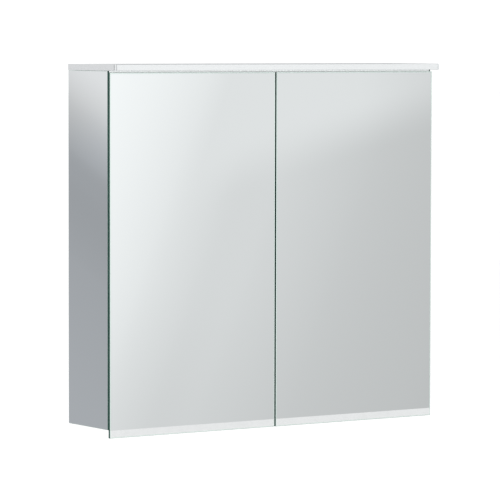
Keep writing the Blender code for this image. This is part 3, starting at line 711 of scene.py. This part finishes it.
def round_edges(obj, width):
    """Rounds the edges where a piece turns a corner."""
    modifier = obj.modifiers.new("soft_edges", "BEVEL")
    modifier.width = width
    modifier.segments = ROUNDING_STEPS
    modifier.limit_method = "ANGLE"
    modifier.angle_limit = ROUNDED_ANGLE
    modifier.use_clamp_overlap = True
    modifier.harden_normals = True
    return obj


def drill(obj, radius, depth, places):
    """Round holes at each (point on the face, outward direction)."""
    profile = ((0, -depth), (radius, -depth), (radius, CUT_CLEARANCE), (0, CUT_CLEARANCE))
    pattern = as_mesh("drill", turned_shape(profile, HOLE_STEPS))
    return carve(obj, repeated("drill_cutter", pattern, places))


def mount(obj, body, slot, *nodes):
    """Rides on a body and stands for these CAD nodes; the record slot is not used."""
    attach(obj, body)
    if nodes:
        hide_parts(*nodes)


def paint(node, look):
    """Gives a CAD node that stays its finish, and joins its loose triangles."""
    obj = frame["nodes"][node]
    for place in obj.material_slots:
        place.material = LOOKS[look]
    weld = obj.modifiers.new("weld", "WELD")
    weld.merge_threshold = WELD_DISTANCE
    return obj


def copy_of(node, *looks):
    """A new piece with the CAD node's shape in whole faces, to be cut and finished further."""
    shape = bmesh.new()
    shape.from_mesh(frame["nodes"][node].data)
    bmesh.ops.remove_doubles(shape, verts=shape.verts, dist=WELD_DISTANCE)
    bmesh.ops.dissolve_limit(
        shape, angle_limit=FLAT_ANGLE, verts=shape.verts, edges=shape.edges
    )
    return mesh_object(node + "_body", shape, *looks)


# ---- panes


def face_towards(shape, direction):
    """The face that looks most squarely this way."""
    return max(shape.faces, key=lambda face: face.normal.dot(direction))


def rim(shape, face, width, depth):
    """Insets a face, pushes what is left outwards by depth, and returns the ring round it."""
    made = bmesh.ops.inset_region(
        shape, faces=[face], thickness=width, depth=depth, use_even_offset=True
    )
    return made["faces"]


def pane_shape(node, front, facet, margin):
    """A sheet with an arris, a polished facet and a silver margin on the side towards front.

    The arris along the top takes the facet's bright finish, a painted highlight where it faces the
    light from above.
    """
    low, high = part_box(node)
    front = Vector(front)
    shrink = Vector([abs(value) for value in front])
    towards_high = sum(front) > 0
    front_relief = FACET_DEPTH + FRONT_ARRIS / 2
    low += shrink * (BACK_ARRIS if towards_high else front_relief)
    high -= shrink * (front_relief if towards_high else BACK_ARRIS)
    shape = box_shape(low, high)
    for face in shape.faces:
        face.material_index = EDGE
    shape.normal_update()
    back = face_towards(shape, -front)
    face = face_towards(shape, front)
    # The same arris is bright where it points up and dark green elsewhere: a painted highlight
    # along the top
    for ring in rim(shape, face, FRONT_ARRIS, FRONT_ARRIS / 2):
        ring.material_index = FACET if ring.normal.z > TOP_ARRIS_LEVEL else EDGE
    for ring in rim(shape, face, facet, FACET_DEPTH):
        ring.material_index = FACET
    if margin:
        for ring in rim(shape, face, margin, 0.0):
            ring.material_index = MARGIN
    face.material_index = FACE
    for ring in rim(shape, back, BACK_ARRIS, BACK_ARRIS):
        ring.material_index = EDGE
    back.material_index = BACK
    return shape


def split_at(shape, height):
    """Divides every face that crosses this height."""
    bmesh.ops.bisect_plane(
        shape, geom=[*shape.verts, *shape.edges, *shape.faces], dist=CUT_TOLERANCE,
        plane_co=(0, 0, height), plane_no=(0, 0, 1),
    )


def frost_below(shape, height):
    """Everything but the edges and facets below this height is frosted."""
    split_at(shape, height)
    for face in shape.faces:
        below = face.calc_center_median().z < height
        if below and face.material_index in (FACE, MARGIN, BACK):
            face.material_index = FROST


def make_pane(node, front, facet, margin, frosted=False):
    """A mirror pane in place of its CAD node, frosted along its foot if so asked."""
    shape = pane_shape(node, front, facet, margin)
    looks = ["silver", "edge", "facet", "margin", "backing"]
    if frosted:
        frost_below(shape, FROST_TOP)
        looks.append("frost")
    mount(mesh_object(node + "_pane", shape, *looks), BODY_OF[node], "mirror_glass", node)


def make_glue_film(name):
    """The film that joins a door's two panes and fills the line between their edges."""
    front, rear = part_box(name + "_door_front_mirror"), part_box(name + "_door_rear_mirror")
    low = Vector((front[0].x, front[1].y + FILM_GAP, front[0].z))
    high = Vector((front[1].x, rear[0].y - FILM_GAP, front[1].z))
    film = mesh_object(name + "_door_glue_film", box_shape(low, high, FILM_GAP), "edge")
    mount(film, name + "_door", "mirror_glass")


def make_mirrors():
    """The doors' two panes with the film between them, and the side and back mirrors."""
    for name, side in SIDES.items():
        make_pane(name + "_door_front_mirror", (0, -1, 0), DOOR_FACET, DOOR_MARGIN, True)
        make_pane(name + "_door_rear_mirror", (0, 1, 0), SIDE_FACET, DOOR_MARGIN, True)
        make_glue_film(name)
        make_pane(name + "_side_mirror", (side, 0, 0), SIDE_FACET, SIDE_MARGIN)
        make_pane(name + "_back_mirror", (0, -1, 0), SIDE_FACET, SIDE_MARGIN)


def make_shelves():
    """Clear shelves whose edges are the green of thick glass."""
    for name in SIDES:
        for level in LEVELS:
            node = f"{name}_{level}_shelf"
            shape = pane_shape(node, (0, 0, 1), SHELF_FACET, 0.0)
            looks = ("glass", "glass_rim", "glass_rim", "glass", "glass")
            mount(mesh_object(node + "_glass", shape, *looks), "root", "clear_glass", node)


# ---- boards


def pin_rows(name):
    """(y, z) of every shelf-pin hole beside this bay: three heights at two depths a shelf."""
    places = []
    for level in LEVELS:
        low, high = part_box(f"{name}_{level}_shelf")
        middle = low.z - SHELF_HOLE_RADIUS - PIN_SEAT
        for y in (low.y + SHELF_HOLE_INSET, high.y - SHELF_HOLE_INSET):
            places += [(y, middle + step * SHELF_HOLE_PITCH) for step in (-1, 0, 1)]
    return places


def board_faces(name, side):
    """X of the side board's and the partition's face in this bay, with the way each points."""
    board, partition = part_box(name + "_side_panel"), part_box("centre_partition")
    board_x = board[1].x if side < 0 else board[0].x
    partition_x = partition[0].x if side < 0 else partition[1].x
    return (board_x, -side), (partition_x, side)


def hole_places(name, side, index):
    """Where the side board (index 0) or the partition (index 1) is drilled for this bay's pins."""
    x, towards = board_faces(name, side)[index]
    return [((x, y, z), (towards, 0, 0)) for y, z in pin_rows(name)]


def make_boards():
    """White boards, drilled for the shelf pins."""
    for name, side in SIDES.items():
        node = name + "_side_panel"
        board = copy_of(node, "laminate")
        drill(board, SHELF_HOLE_RADIUS, BOARD_HOLE_DEPTH, hole_places(name, side, 0))
        mount(board, "root", "white_board", node)
    partition = copy_of("centre_partition", "laminate")
    for name, side in SIDES.items():
        drill(partition, SHELF_HOLE_RADIUS, PARTITION_HOLE_DEPTH, hole_places(name, side, 1))
    mount(partition, "root", "white_board", "centre_partition")
    paint("back_panel", "laminate")
    for node in ("top_panel", "bottom_panel"):
        round_edges(paint(node, "laminate"), BOARD_ROUNDING)
    fix_back_panel()


def fix_back_panel():
    """Screws along the back panel's sides and foot, where it meets the boards."""
    low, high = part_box("back_panel")
    left, right = low.x + BACK_SCREW_INSET, high.x - BACK_SCREW_INSET
    foot = low.z + BACK_SCREW_INSET
    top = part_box("wall_rail")[0].z - BACK_SCREW_DROP
    shares = [step / (BACK_SCREWS - 1) for step in range(BACK_SCREWS)]
    spots = [(left + (right - left) * share, foot) for share in shares[1:-1]]
    spots += [(x, foot + (top - foot) * share) for x in (left, right) for share in shares]
    places = [((x, high.y, z), (0, 1, 0)) for x, z in spots]
    screws = repeated("back_panel_screws", screw_mesh(*BACK_SCREW), places, "zinc")
    mount(screws, "root", "zinc_steel")


def make_shelf_pins():
    """A turned pin under each corner of each shelf, its collar just clear of the board."""
    peg = SHELF_HOLE_RADIUS - PIN_PLAY
    collar = peg + PIN_COLLAR
    collar_foot, collar_rim, collar_top = PIN_PLAY, 1.1 * MM, 1.3 * MM
    tail, tail_slope = 0.8 * peg, 0.5 * MM
    tip, tip_slope = 0.75 * peg, 0.6 * MM
    profile = (
        (0, -PIN_DEPTH), (tail, -PIN_DEPTH), (peg, tail_slope - PIN_DEPTH),
        (peg, collar_foot), (collar, collar_foot), (collar, collar_rim), (peg, collar_top),
        (peg, PIN_REACH - tip_slope), (tip, PIN_REACH), (0, PIN_REACH),
    )
    pattern = as_mesh("shelf_pin", turned_shape(profile, TURNED_STEPS))
    for name, side in SIDES.items():
        places = []
        for level in LEVELS:
            low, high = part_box(f"{name}_{level}_shelf")
            z = low.z - peg - PIN_SEAT
            for y in (low.y + SHELF_HOLE_INSET, high.y - SHELF_HOLE_INSET):
                for x, towards in board_faces(name, side):
                    places.append(((x, y, z), (towards, 0, 0)))
        pins = repeated(name + "_shelf_pins", pattern, places, "nickel")
        mount(pins, "root", "hinge_steel")


# ---- lights


def make_end_cap(name, side):
    """A cap whose front part closes the facia, with a fine joint line behind it. That part's
    forward faces are painted lighter as if lit, its other faces painted darker as shade.
    """
    node = name + "_canopy_end_cap"
    cap = copy_of(node, "cap_aluminium", "painted_shade_facia_end", "painted_lit_aluminium")
    low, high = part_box(node)
    joint = low.y + FACIA_DEPTH
    outer = high.x if side > 0 else low.x
    half = Vector((JOINT_LINE, JOINT_LINE / 2, high.z - low.z))
    middle = Vector((outer, joint, (low.z + high.z) / 2))
    carve(cap, mesh_object("joint_cutter", box_shape(middle - half, middle + half)))
    # In front of the joint, forward faces get painted light and the other faces painted shade
    for face in cap.data.polygons:
        if face.center.y < joint:
            face.material_index = CAP_FRONT if face.normal.y < -ARRIS_FACING else CAP_FACIA
    round_edges(cap, CAP_ROUNDING)
    mount(cap, "root", "satin_aluminium", node)


def make_glow_strip():
    """A glowing strip on the body's upper front edge, brighter along its top: painted light in the
    shaded gap over the doors.
    """
    low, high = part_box("left_side_mirror")[0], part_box("right_side_mirror")[1]
    shape = box_shape(
        (low.x + GLOW_INSET, low.y - GLOW_PROUD, high.z - GLOW_HEIGHT),
        (high.x - GLOW_INSET, low.y - GLOW_GAP, high.z), GLOW_GAP,
    )
    split = high.z - GLOW_BRIGHT_HEIGHT
    split_at(shape, split)
    for face in shape.faces:
        face.material_index = int(face.calc_center_median().z > split)
    strip = mesh_object("canopy_glow_strip", shape, "dim_glow", "glow")
    mount(strip, "root", "light_diffuser")


def make_canopy():
    """A satin housing whose front face is painted lighter as if lit, meeting its end caps, and the
    light covers.
    """
    node = "canopy_housing"
    housing = copy_of(node, "satin_aluminium", "painted_lit_aluminium")
    low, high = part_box(node)
    # Forward faces take the lighter aluminium, painted light; the rest stays satin
    for face in housing.data.polygons:
        outermost = face.center.y < low.y + CANOPY_FRONT_DEPTH
        face.material_index = int(outermost and face.normal.y < -FRONT_FACING)
    for vertex in housing.data.vertices:
        if vertex.co.x < low.x + CAP_GLUE:
            vertex.co.x -= CAP_GLUE
        elif vertex.co.x > high.x - CAP_GLUE:
            vertex.co.x += CAP_GLUE
    round_edges(housing, CANOPY_ROUNDING)
    mount(housing, "root", "satin_aluminium", node)
    for name, side in SIDES.items():
        make_end_cap(name, side)
    make_glow_strip()
    for node in ("canopy_diffuser", "bottom_light_diffuser"):
        paint(node, "opal")
    paint("bottom_light_channel", "cap_aluminium")


def make_led_strip(node):
    """Yellow light chips along the underside of a circuit board."""
    paint(node, "circuit")
    low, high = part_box(node)
    middle_y = (low.y + high.y) / 2
    corner = Vector((CHIP_HALF, CHIP_HALF, CHIP_THICK / 2))
    pattern = as_mesh("light_chip", box_shape(-corner, corner, CHIP_ROUNDING))
    count = int((high.x - low.x) / CHIP_PITCH)
    start = (low.x + high.x - (count - 1) * CHIP_PITCH) / 2
    places = [
        ((start + step * CHIP_PITCH, middle_y, low.z - CHIP_THICK / 2), (0, 0, 1))
        for step in range(count)
    ]
    mount(repeated(node + "_chips", pattern, places, "phosphor"), "root", "led_board")


# ---- screws


def screw_mesh(radius, height):
    """A pan head with a cross recess, its seat at z 0."""
    rim_height = SCREW_RIM * height
    crown = height - rim_height
    profile = [(0, 0), (radius, 0), (radius, rim_height)]
    profile += [
        (radius * math.cos(angle), rim_height + crown * math.sin(angle))
        for angle in map(math.radians, SCREW_CROWN_DEGREES)
    ]
    profile.append((0, height))
    head = mesh_object("screw_head", turned_shape(profile, TURNED_STEPS))
    long, short, floor = radius * RECESS_LENGTH, radius * RECESS_WIDTH, height * RECESS_FLOOR
    cutters = [
        mesh_object("recess", box_shape((-x, -y, floor), (x, y, 2 * height)))
        for x, y in ((long, short), (short, long))
    ]
    mesh = carve(head, *cutters).data
    bpy.data.objects.remove(head)
    return mesh


# ---- hinges


def make_hinges():
    """Nickel-plated hinges, with two screws in each arm's wings and two along its spine."""
    base_screw, adjuster = screw_mesh(*HINGE_BASE_SCREW), screw_mesh(*HINGE_ADJUSTER)
    for name, side in SIDES.items():
        inwards = (-side, 0, 0)
        wing_x = board_faces(name, side)[0][0] - side * HINGE_WING_THICK
        base_places, adjuster_places = [], []
        for level in LEVELS:
            for part in HINGE_PARTS:
                hinge_part = paint(f"{name}_{level}_hinge_{part}", "nickel")
                round_edges(hinge_part, HINGE_ROUNDING)
            low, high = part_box(f"{name}_{level}_hinge_arm")
            middle_z = (low.z + high.z) / 2
            for z in (middle_z - HINGE_WING_SPREAD, middle_z + HINGE_WING_SPREAD):
                base_places.append(((wing_x, low.y + HINGE_WING_MIDDLE, z), inwards))
            spine_x = low.x if side > 0 else high.x
            for inset in HINGE_ADJUSTER_INSETS:
                adjuster_places.append(((spine_x, high.y - inset, middle_z), inwards))
        bases = repeated(name + "_hinge_base_screws", base_screw, base_places, "nickel")
        mount(bases, "root", "hinge_steel")
        adjusters = repeated(name + "_hinge_adjusting_screws", adjuster, adjuster_places, "nickel")
        mount(adjusters, "root", "hinge_steel")


def make_bumpers():
    """Domed silicone buttons on the body's front edge."""
    for name in SIDES:
        for level in LEVELS:
            node = f"{name}_{level}_door_bumper"
            low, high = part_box(node)
            radius, thick = (high.x - low.x) / 2, high.y - low.y
            profile = [(radius * across, thick * up) for across, up in BUMPER_OUTLINE]
            middle = (low + high) / 2
            place = [((middle.x, high.y, middle.z), (0, -1, 0))]
            pattern = as_mesh(node, turned_shape(profile, BUMPER_STEPS))
            button = repeated(node + "_dome", pattern, place, "silicone")
            mount(button, "root", "silicone", node)


# ---- power and mains


def make_earth_clips(middle, front_y, floor_y):
    """A brass clip at the top and the bottom of the socket's well."""
    clips = bmesh.new()
    for end in (-1, 1):
        centre = middle + Vector((0.0, 0.0, end * (WELL_RADIUS - CLIP_INSET)))
        low, high = centre - CLIP_HALF, centre + CLIP_HALF
        low.y = front_y + CLIP_RECESS
        high.y = floor_y - CLIP_CLEARANCE
        clips.from_mesh(as_mesh("earth_clip", box_shape(low, high, CLIP_ROUNDING)))
    mount(mesh_object("earth_clips", clips, "brass"), "root", "hinge_steel")


def make_contact_sleeves(middle, floor_y):
    """A brass tube in each of the two contact holes."""
    profile = (
        (SLEEVE_BORE, 0), (SLEEVE_RADIUS, 0), (SLEEVE_RADIUS, -SLEEVE_LENGTH),
        (SLEEVE_BORE, -SLEEVE_LENGTH), (SLEEVE_BORE, 0),
    )
    sleeve = as_mesh("contact_sleeve", turned_shape(profile, TURNED_STEPS))
    places = [
        ((middle.x + side * SLEEVE_SPREAD, floor_y + SLEEVE_RECESS, middle.z), (0, -1, 0))
        for side in SIDES.values()
    ]
    mount(repeated("contact_sleeves", sleeve, places, "brass"), "root", "hinge_steel")


def make_socket():
    """The socket and switch, and the metal parts in the socket's well."""
    for node, width in SOCKET_ROUNDING.items():
        round_edges(paint(node, "white_plastic"), width)
    low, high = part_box("socket_insert")
    middle = (low + high) / 2
    floor_y = low.y + WELL_DEPTH
    centre = [((middle.x, floor_y, middle.z), (0, -1, 0))]
    screw = repeated("socket_screw", screw_mesh(*SOCKET_SCREW), centre, "zinc")
    mount(screw, "root", "zinc_steel")
    make_earth_clips(middle, low.y, floor_y)
    make_contact_sleeves(middle, floor_y)


def make_mains_parts():
    """The driver and the terminal box, their lids grooved and screwed at the corners."""
    places = []
    for node, look in (("led_driver", "white_plastic"), ("terminal_box", "grey_plastic")):
        low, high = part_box(node)
        grooves = [
            mesh_object("lid_groove", box_shape(
                (low.x + GROOVE_INSET, high.y - GROOVE_DEPTH, z - GROOVE_HALF),
                (high.x - GROOVE_INSET, high.y + CUT_CLEARANCE, z + GROOVE_HALF),
            ))
            for z in (low.z + share * (high.z - low.z) for share in GROOVE_HEIGHTS)
        ]
        shell = carve(copy_of(node, look), *grooves)
        round_edges(shell, MAINS_ROUNDING)
        mount(shell, "root", look, node)
        places += [
            ((x, high.y, z), (0, 1, 0))
            for x in (low.x + LID_SCREW_INSET, high.x - LID_SCREW_INSET)
            for z in (low.z + LID_SCREW_INSET, high.z - LID_SCREW_INSET)
        ]
    screws = repeated("mains_lid_screws", screw_mesh(*LID_SCREW), places, "zinc")
    mount(screws, "root", "zinc_steel")
    round_edges(paint("cable_gland", "grey_plastic"), GLAND_ROUNDING)


def make_wall_parts():
    """The rail with its row of slots, and the hangers with their adjusting screws."""
    low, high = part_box("wall_rail")
    pitch = (high.x - low.x) / RAIL_SLOTS
    middles = [
        Vector((low.x + pitch * (step + 0.5), high.y, low.z + RAIL_SLOT_HEIGHT))
        for step in range(RAIL_SLOTS)
    ]
    slots = [
        mesh_object("rail_slot", box_shape(
            middle - RAIL_SLOT_HALF, middle + RAIL_SLOT_HALF, RAIL_SLOT_ROUNDING,
        ))
        for middle in middles
    ]
    rail = carve(copy_of("wall_rail", "zinc"), *slots)
    round_edges(rail, RAIL_ROUNDING)
    mount(rail, "root", "zinc_steel", "wall_rail")
    seat_y = low.y - HANGER_SCREW_SEAT
    places = []
    for name in SIDES:
        round_edges(paint(name + "_hanger", "zinc"), HANGER_ROUNDING)
        hanger_low, hanger_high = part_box(name + "_hanger")
        x = (hanger_low.x + hanger_high.x) / 2
        for height in HANGER_SCREW_HEIGHTS:
            places.append(((x, seat_y, hanger_low.z + height), (0, 1, 0)))
    screws = repeated("hanger_adjusting_screws", screw_mesh(*HANGER_SCREW), places, "zinc")
    mount(screws, "root", "zinc_steel")


# ---- stage


def glossy_only(obj, through_glass=False):
    """Seen in reflections, also through glass if so asked, and nowhere else."""
    obj.visible_camera = False
    obj.visible_diffuse = False
    obj.visible_transmission = through_glass
    obj.visible_volume_scatter = False
    obj.visible_shadow = False


def make_floor():
    """A pale matt floor that the mirrors and the glass don't show."""
    shape = bmesh.new()
    bmesh.ops.create_grid(shape, x_segments=1, y_segments=1, size=FLOOR_HALF)
    bmesh.ops.translate(shape, vec=(0, 0, FLOOR_Z), verts=shape.verts)
    floor = mesh_object("floor", shape)
    look = Look("floor_paint", roughness=0.9)
    look.tint(look.noise(0.8, 2.0), (0.925, 0.925, 0.925), (0.935, 0.935, 0.935))
    floor.data.materials.append(look.material)
    floor.visible_glossy = False
    floor.visible_transmission = False


def make_dome():
    """A soft studio shell for the mirrors: darker low down, bright overhead."""
    shape = bmesh.new()
    bmesh.ops.create_uvsphere(
        shape, u_segments=DOME_STEPS, v_segments=DOME_STEPS // 2, radius=DOME_RADIUS
    )
    dome = smooth(mesh_object("studio_dome", shape))
    look = Look("studio_dome")
    height = look.between(look.axes()["Z"], 0.0, 1.0, -DOME_RADIUS, DOME_RADIUS)
    sky = look.ramp(height, (0.0, 1.0), DOME_TONES)
    clouds = look.noise(CLOUD_SIZE, 0.0, CLOUD_STRETCH)
    gain = look.between(clouds, *CLOUD_GAIN, start=0.25, end=0.75, smooth=True)
    look.glow(look.math("MULTIPLY", sky, gain), STUDIO_WHITE)
    dome.data.materials.append(look.material)
    glossy_only(dome, through_glass=True)


def image_of_camera(point, normal):
    """The camera's place seen in a mirror plane."""
    return CAMERA_PLACE - 2 * normal * normal.dot(CAMERA_PLACE - point)


def make_card(name, low, high, normal, distance, look):
    """A light card in front of a mirror, scaled so that the camera sees it over the whole mirror.

    Its mesh is drawn on the mirror's own plane, so its object coordinates are the mirror's.
    """
    normal = Vector(normal)
    seen_from = image_of_camera(low, normal)
    growth = distance / abs(normal.dot(low - seen_from))
    shape = bmesh.new()
    corners = (low, (high.x, high.y, low.z), high, (low.x, low.y, high.z))
    shape.faces.new([shape.verts.new(corner) for corner in corners])
    card = mesh_object(name, shape)
    card.data.materials.append(look.material)
    card.scale = [1 + growth] * 3
    card.location = -growth * seen_from
    glossy_only(card)


def edge_fade(look, place, low, high):
    """1 from low to high, falling to 0 across the card's margin."""
    middle, half = (low + high) / 2, (high - low) / 2
    distance = look.math("ABSOLUTE", look.math("SUBTRACT", place, middle))
    start, end = half + FADE_CLEARANCE, half + CARD_MARGIN - FADE_CLEARANCE
    return look.between(distance, 1.0, 0.0, start, end, smooth=True)


def door_card_look(low, high):
    """Bright at the upper left, falling to the lower right, with a light band across the top."""
    look = Look("door_card")
    x, _, z = look.axes()
    drop = look.math("SUBTRACT", DOOR_TONES_PIVOT, z)
    place = look.math("ADD", x, look.math("MULTIPLY", drop, DOOR_TONES_LEAN))
    base = look.ramp(place, DOOR_TONES_SPAN, DOOR_TONES)
    band = look.ramp(x, BAND_TONES_SPAN, BAND_TONES)
    border = look.math("ADD", look.math("MULTIPLY", x, BAND_SLOPE), BAND_BORDER)
    rise = look.math("SUBTRACT", z, border)
    above = look.between(rise, 0.0, 1.0, -BAND_SOFTNESS, BAND_SOFTNESS, smooth=True)
    lifted = look.math("MAXIMUM", base, band)
    gain = look.math("MULTIPLY", look.math("SUBTRACT", lifted, base), above)
    tone = look.math("ADD", base, gain)
    near_foot = look.between(z, CORNER_DARK, 0.0, 0.0, CORNER_TOP, smooth=True)
    near_left = look.between(x, 1.0, 0.0, *CORNER_SPAN, smooth=True)
    corner = look.math("MULTIPLY", near_foot, near_left)
    tone = look.math("MULTIPLY", tone, look.math("SUBTRACT", 1.0, corner))
    across, upwards = edge_fade(look, x, low.x, high.x), edge_fade(look, z, low.z, high.z)
    cover = look.math("MULTIPLY", across, upwards)
    return look.glow(look.math("DIVIDE", tone, SILVER_REFLECTS), STUDIO_WHITE, cover)


def side_card_look(low, high):
    """Bright at the top, darkest below the middle, a little lighter at the foot."""
    look = Look("side_card")
    _, y, z = look.axes()
    place = look.math("SUBTRACT", z, look.math("MULTIPLY", y, SIDE_TONES_LEAN))
    tone = look.ramp(place, SIDE_TONES_SPAN, SIDE_TONES)
    across, upwards = edge_fade(look, y, low.y, high.y), edge_fade(look, z, low.z, high.z)
    cover = look.math("MULTIPLY", across, upwards)
    warmer = look.between(z, 0.0, 1.0, *SIDE_WARM_SPAN, smooth=True)
    strength = look.math("DIVIDE", tone, SILVER_REFLECTS)
    return look.glow(strength, SIDE_COOL, cover, SIDE_WARM, warmer)


def make_cards():
    """One card for both doors and one for the left side, each drawn on its mirror's face."""
    low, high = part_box("left_door_front_mirror")[0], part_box("right_door_front_mirror")[1]
    high.y = low.y
    margin = Vector((CARD_MARGIN, 0.0, CARD_MARGIN))
    make_card(
        "door_card", low - margin, high + margin, (0, -1, 0),
        DOOR_CARD_DISTANCE, door_card_look(low, high),
    )
    low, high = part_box("left_side_mirror")
    high.x = low.x
    margin = Vector((0.0, CARD_MARGIN, CARD_MARGIN))
    make_card(
        "side_card", low - margin, high + margin, (-1, 0, 0),
        SIDE_CARD_DISTANCE, side_card_look(low, high),
    )


def make_light(name, place, size, power):
    """A soft square light on the cabinet's middle, not mirrored itself."""
    data = bpy.data.lights.new(name, "AREA")
    data.shape = "SQUARE"
    data.size = size
    data.energy = power
    light = link_object(name, data)
    light.location = place
    middle = (CAD_BOUNDS[0] + CAD_BOUNDS[1]) / 2
    light.rotation_euler = (middle - light.location).to_track_quat("-Z", "Y").to_euler()
    light.visible_glossy = False
    light.visible_camera = False


def make_world():
    """Even white light from all round, shown without tone mapping."""
    world = bpy.data.worlds.new("studio")
    world.use_nodes = True
    background = world.node_tree.nodes["Background"]
    background.inputs["Color"].default_value = (1.0, 1.0, 1.0, 1.0)
    background.inputs["Strength"].default_value = WORLD_STRENGTH
    bpy.context.scene.world = world
    bpy.context.scene.view_settings.view_transform = "Standard"


def make_camera():
    """The camera that was fitted to the photo's edges."""
    level = math.cos(CAMERA_PITCH)
    forward = Vector((
        math.sin(CAMERA_YAW) * level, math.cos(CAMERA_YAW) * level, -math.sin(CAMERA_PITCH),
    ))
    right = Vector((math.cos(CAMERA_YAW), -math.sin(CAMERA_YAW), 0.0))
    up = right.cross(forward)
    right = math.cos(CAMERA_ROLL) * right + math.sin(CAMERA_ROLL) * up
    up = right.cross(forward)
    data = bpy.data.cameras.new("camera")
    data.lens = CAMERA_LENS
    data.sensor_width = CAMERA_SENSOR
    data.clip_end = CAMERA_REACH
    camera = link_object("camera", data)
    camera.matrix_world = (
        Matrix.Translation(CAMERA_PLACE) @ Matrix((right, up, -forward)).transposed().to_4x4()
    )
    bpy.context.scene.camera = camera


def clear_defaults():
    """Removes what a new file holds besides the frame."""
    kept = {*frame["bodies"].values(), *frame["nodes"].values()}
    for obj in list(bpy.data.objects):
        if obj not in kept:
            bpy.data.objects.remove(obj)


def main():
    clear_defaults()
    make_camera()
    make_world()
    make_floor()
    make_dome()
    make_cards()
    for light in LIGHTS:
        make_light(*light)
    make_mirrors()
    make_shelves()
    make_boards()
    make_shelf_pins()
    make_canopy()
    for node in ("canopy_led_strip", "bottom_led_strip"):
        make_led_strip(node)
    make_hinges()
    make_bumpers()
    make_socket()
    make_mains_parts()
    make_wall_parts()


main()
